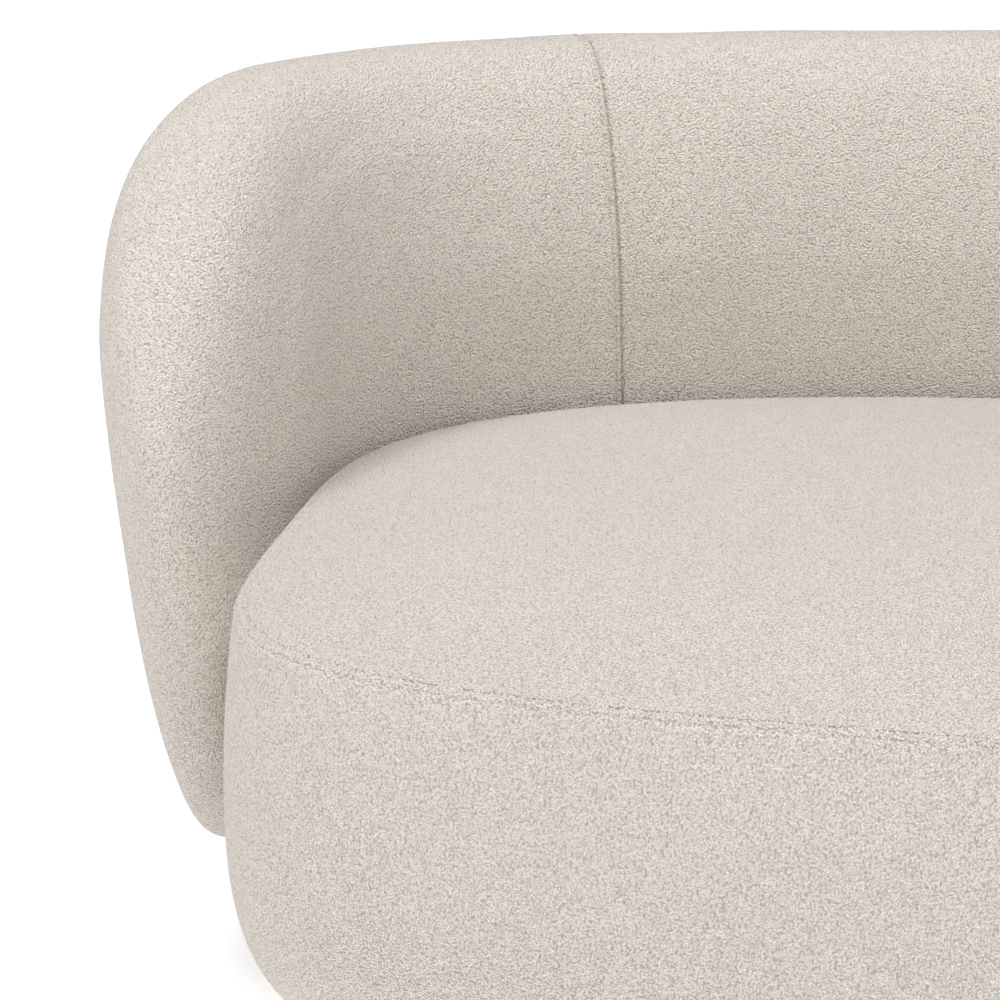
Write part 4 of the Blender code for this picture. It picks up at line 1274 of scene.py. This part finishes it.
# %% Finish the imported parts
KIND_FINISH = {
    "seat_bottom_ring": PLYWOOD, "seat_top_ring": PLYWOOD,
    "back_bottom_rail": PLYWOOD, "back_top_rail": PLYWOOD,
    "seat_post": PINE, "cross_rail": PINE, "back_upright": PINE, "side_panel": HARDBOARD,
    "cross_strap": WEBBING, "long_strap": WEBBING, "leg_bolt": STEEL,
    "seat_foam": FOAM,
}
finished = 0
for name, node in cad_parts.items():
    for kind, finish in KIND_FINISH.items():
        if name.startswith(kind):
            node.data.materials.clear()
            node.data.materials.append(finish)
            finished += 1
print(finished, "packed parts finished")

# %% Tie the new pieces
def tie(piece, finish, slot, *stands_for):
    """Finish a piece, let it ride with the sofa, and hide the imported parts it stands for."""
    piece.data.materials.clear()
    piece.data.materials.append(finish)
    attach(piece, "root")
    if stands_for:
        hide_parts(*stands_for)


STANDS_FOR = {"arm_upholstery_left": "arm_cover_left", "arm_upholstery_right": "arm_cover_right",
              "back_upholstery": "back_cover", "seat_top_panel": "seat_top_cover",
              "seat_border_panel": "seat_border_cover"}
for name, piece in covers.items():
    tie(piece, BOUCLE, "boucle_fabric", STANDS_FOR[name])
PAD_STANDS_FOR = {"arm_pad_left": "arm_foam_left", "arm_pad_right": "arm_foam_right",
                  "back_pad": "back_foam", "seat_wadding_pad": "seat_wadding",
                  "border_pad": "border_foam"}
for name, piece in pads.items():
    soft = (WADDING, "wadding") if name == "seat_wadding_pad" else (FOAM, "foam")
    tie(piece, *soft, PAD_STANDS_FOR[name])
for piece in stitches.values():
    tie(piece, THREAD_FINISH, "boucle_fabric")
for place in LEG_PLACES:
    tie(legs[place], OAK, "oak_leg", "leg_" + place)
    tie(glides[place], NYLON, "glide", "glide_" + place)
for place, piece in plates.items():
    tie(piece, STEEL, "steel", "leg_plate_" + place)
for side, piece in bars.items():
    tie(piece, STEEL, "steel", "joining_plate_" + side)
tie(dust_cloth, NON_WOVEN, "dust_cloth", "dust_cover")
tie(staple_row, STEEL, "steel")
dust_plan = corners_of(dust_cloth.data)
float(outline_area(DUST_INSET))
print("tied", len(covers) + len(stitches) + 2 * len(legs) + len(plates) + len(bars) + 2, "pieces")

# %% [markdown]
# ## Studio and camera
# The sofa stands on a white floor under a soft sky. One large soft light is high on the left, one is
# high in front, and a weaker one is low in front on the left. The floor glows a little, more so far
# away, which keeps it white up to the horizon. The camera looks a little down at the left arm
# through a long lens.

# %% Floor, light and camera
FLOOR_SIZE = 400.0
FLOOR_GLOW = 0.66
NEAR_GLOW = 0.53           # share of the glow that the floor beside the sofa gives
NEAR_FLOOR = 1.3
FAR_FLOOR = 3.2
SKY = 0.34
HORIZON_FADE = (0.04, 0.24)  # heights of the sky's direction over which white turns grey
KEY_PLACE = Vector((-2.1, -0.6, 3.8))
KEY_SIZE = 1.1
KEY_POWER = 54.0
FRONT_PLACE = Vector((-2.7, -3.3, 1.9))
FRONT_SIZE = 1.0
FRONT_POWER = 19.0
OVER_PLACE = Vector((0.5, -1.1, 3.3))
OVER_SIZE = 1.0
OVER_POWER = 58.0
VIEW_TARGET = Vector((-0.7504, -0.0333, 0.4057))
VIEW_AZIMUTH = math.radians(10.4972)
VIEW_ELEVATION = math.radians(17.4984)
VIEW_DISTANCE = 2.2182
VIEW_LENS = 97.4
SENSOR = 36.0


def white_floor():
    paint = Finish("white_floor", Roughness=0.9, Specular_IOR_Level=0.0, Emission_Strength=FLOOR_GLOW)
    place = paint.place()
    away = paint.node("ShaderNodeVectorMath", {"operation": "LENGTH"}, {0: place}, output="Value")
    glow = paint.mix(paint.between(away, NEAR_FLOOR, FAR_FLOOR), (NEAR_GLOW,) * 3, (1.0, 1.0, 1.0))
    paint.feed(paint.shader.inputs["Emission Color"], glow)
    cloud = paint.noise(place, 0.6, detail=2.0)
    return paint.surface(paint.mix(cloud, (0.94, 0.94, 0.94), (0.95, 0.95, 0.95)))


def floor():
    bm = bmesh.new()
    bmesh.ops.create_grid(bm, x_segments=1, y_segments=1, size=FLOOR_SIZE / 2)
    ground = piece_from("floor", bm, white_floor())
    return ground


def sky():
    """A soft grey sky that is white along the horizon, so that the floor runs into it unseen."""
    world = bpy.data.worlds.new("studio")
    world.use_nodes = True
    nodes, link = world.node_tree.nodes, world.node_tree.links.new
    background = nodes["Background"]
    background.inputs["Color"].default_value = (1.0, 1.0, 1.0, 1.0)
    direction = nodes.new("ShaderNodeTexCoord")
    split = nodes.new("ShaderNodeSeparateXYZ")
    fade = nodes.new("ShaderNodeMapRange")
    for socket, value in zip(fade.inputs[1:5], (*HORIZON_FADE, 1.0, SKY)):
        socket.default_value = value
    link(direction.outputs["Generated"], split.inputs[0])
    link(split.outputs["Z"], fade.inputs["Value"])
    link(fade.outputs["Result"], background.inputs["Strength"])
    bpy.context.scene.world = world


def soft_light(name, place, target, size, power):
    """A square soft light at place, facing target."""
    lamp = bpy.data.lights.new(name, "AREA")
    lamp.shape = "SQUARE"
    lamp.size = size
    lamp.energy = power
    light = bpy.data.objects.new(name, lamp)
    light.location = place
    light.rotation_euler = (Vector(target) - Vector(place)).to_track_quat("-Z", "Y").to_euler()
    bpy.context.scene.collection.objects.link(light)
    return light


def view_camera():
    lens = bpy.data.cameras.new("view")
    lens.lens = VIEW_LENS
    lens.sensor_width = SENSOR
    camera = bpy.data.objects.new("view", lens)
    back = Vector((math.sin(VIEW_AZIMUTH) * math.cos(VIEW_ELEVATION),
                   -math.cos(VIEW_AZIMUTH) * math.cos(VIEW_ELEVATION), math.sin(VIEW_ELEVATION)))
    camera.location = VIEW_TARGET + back * VIEW_DISTANCE
    camera.rotation_euler = back.to_track_quat("Z", "Y").to_euler()
    bpy.context.scene.collection.objects.link(camera)
    bpy.context.scene.camera = camera
    return camera


floor()
sky()
soft_light("key", KEY_PLACE, VIEW_TARGET, KEY_SIZE, KEY_POWER)
soft_light("front", FRONT_PLACE, VIEW_TARGET, FRONT_SIZE, FRONT_POWER)
soft_light("over", OVER_PLACE, VIEW_TARGET, OVER_SIZE, OVER_POWER)
view_camera()
bpy.context.scene.view_settings.view_transform = "Standard"
print("camera at", [round(c, 3) for c in bpy.context.scene.camera.location])
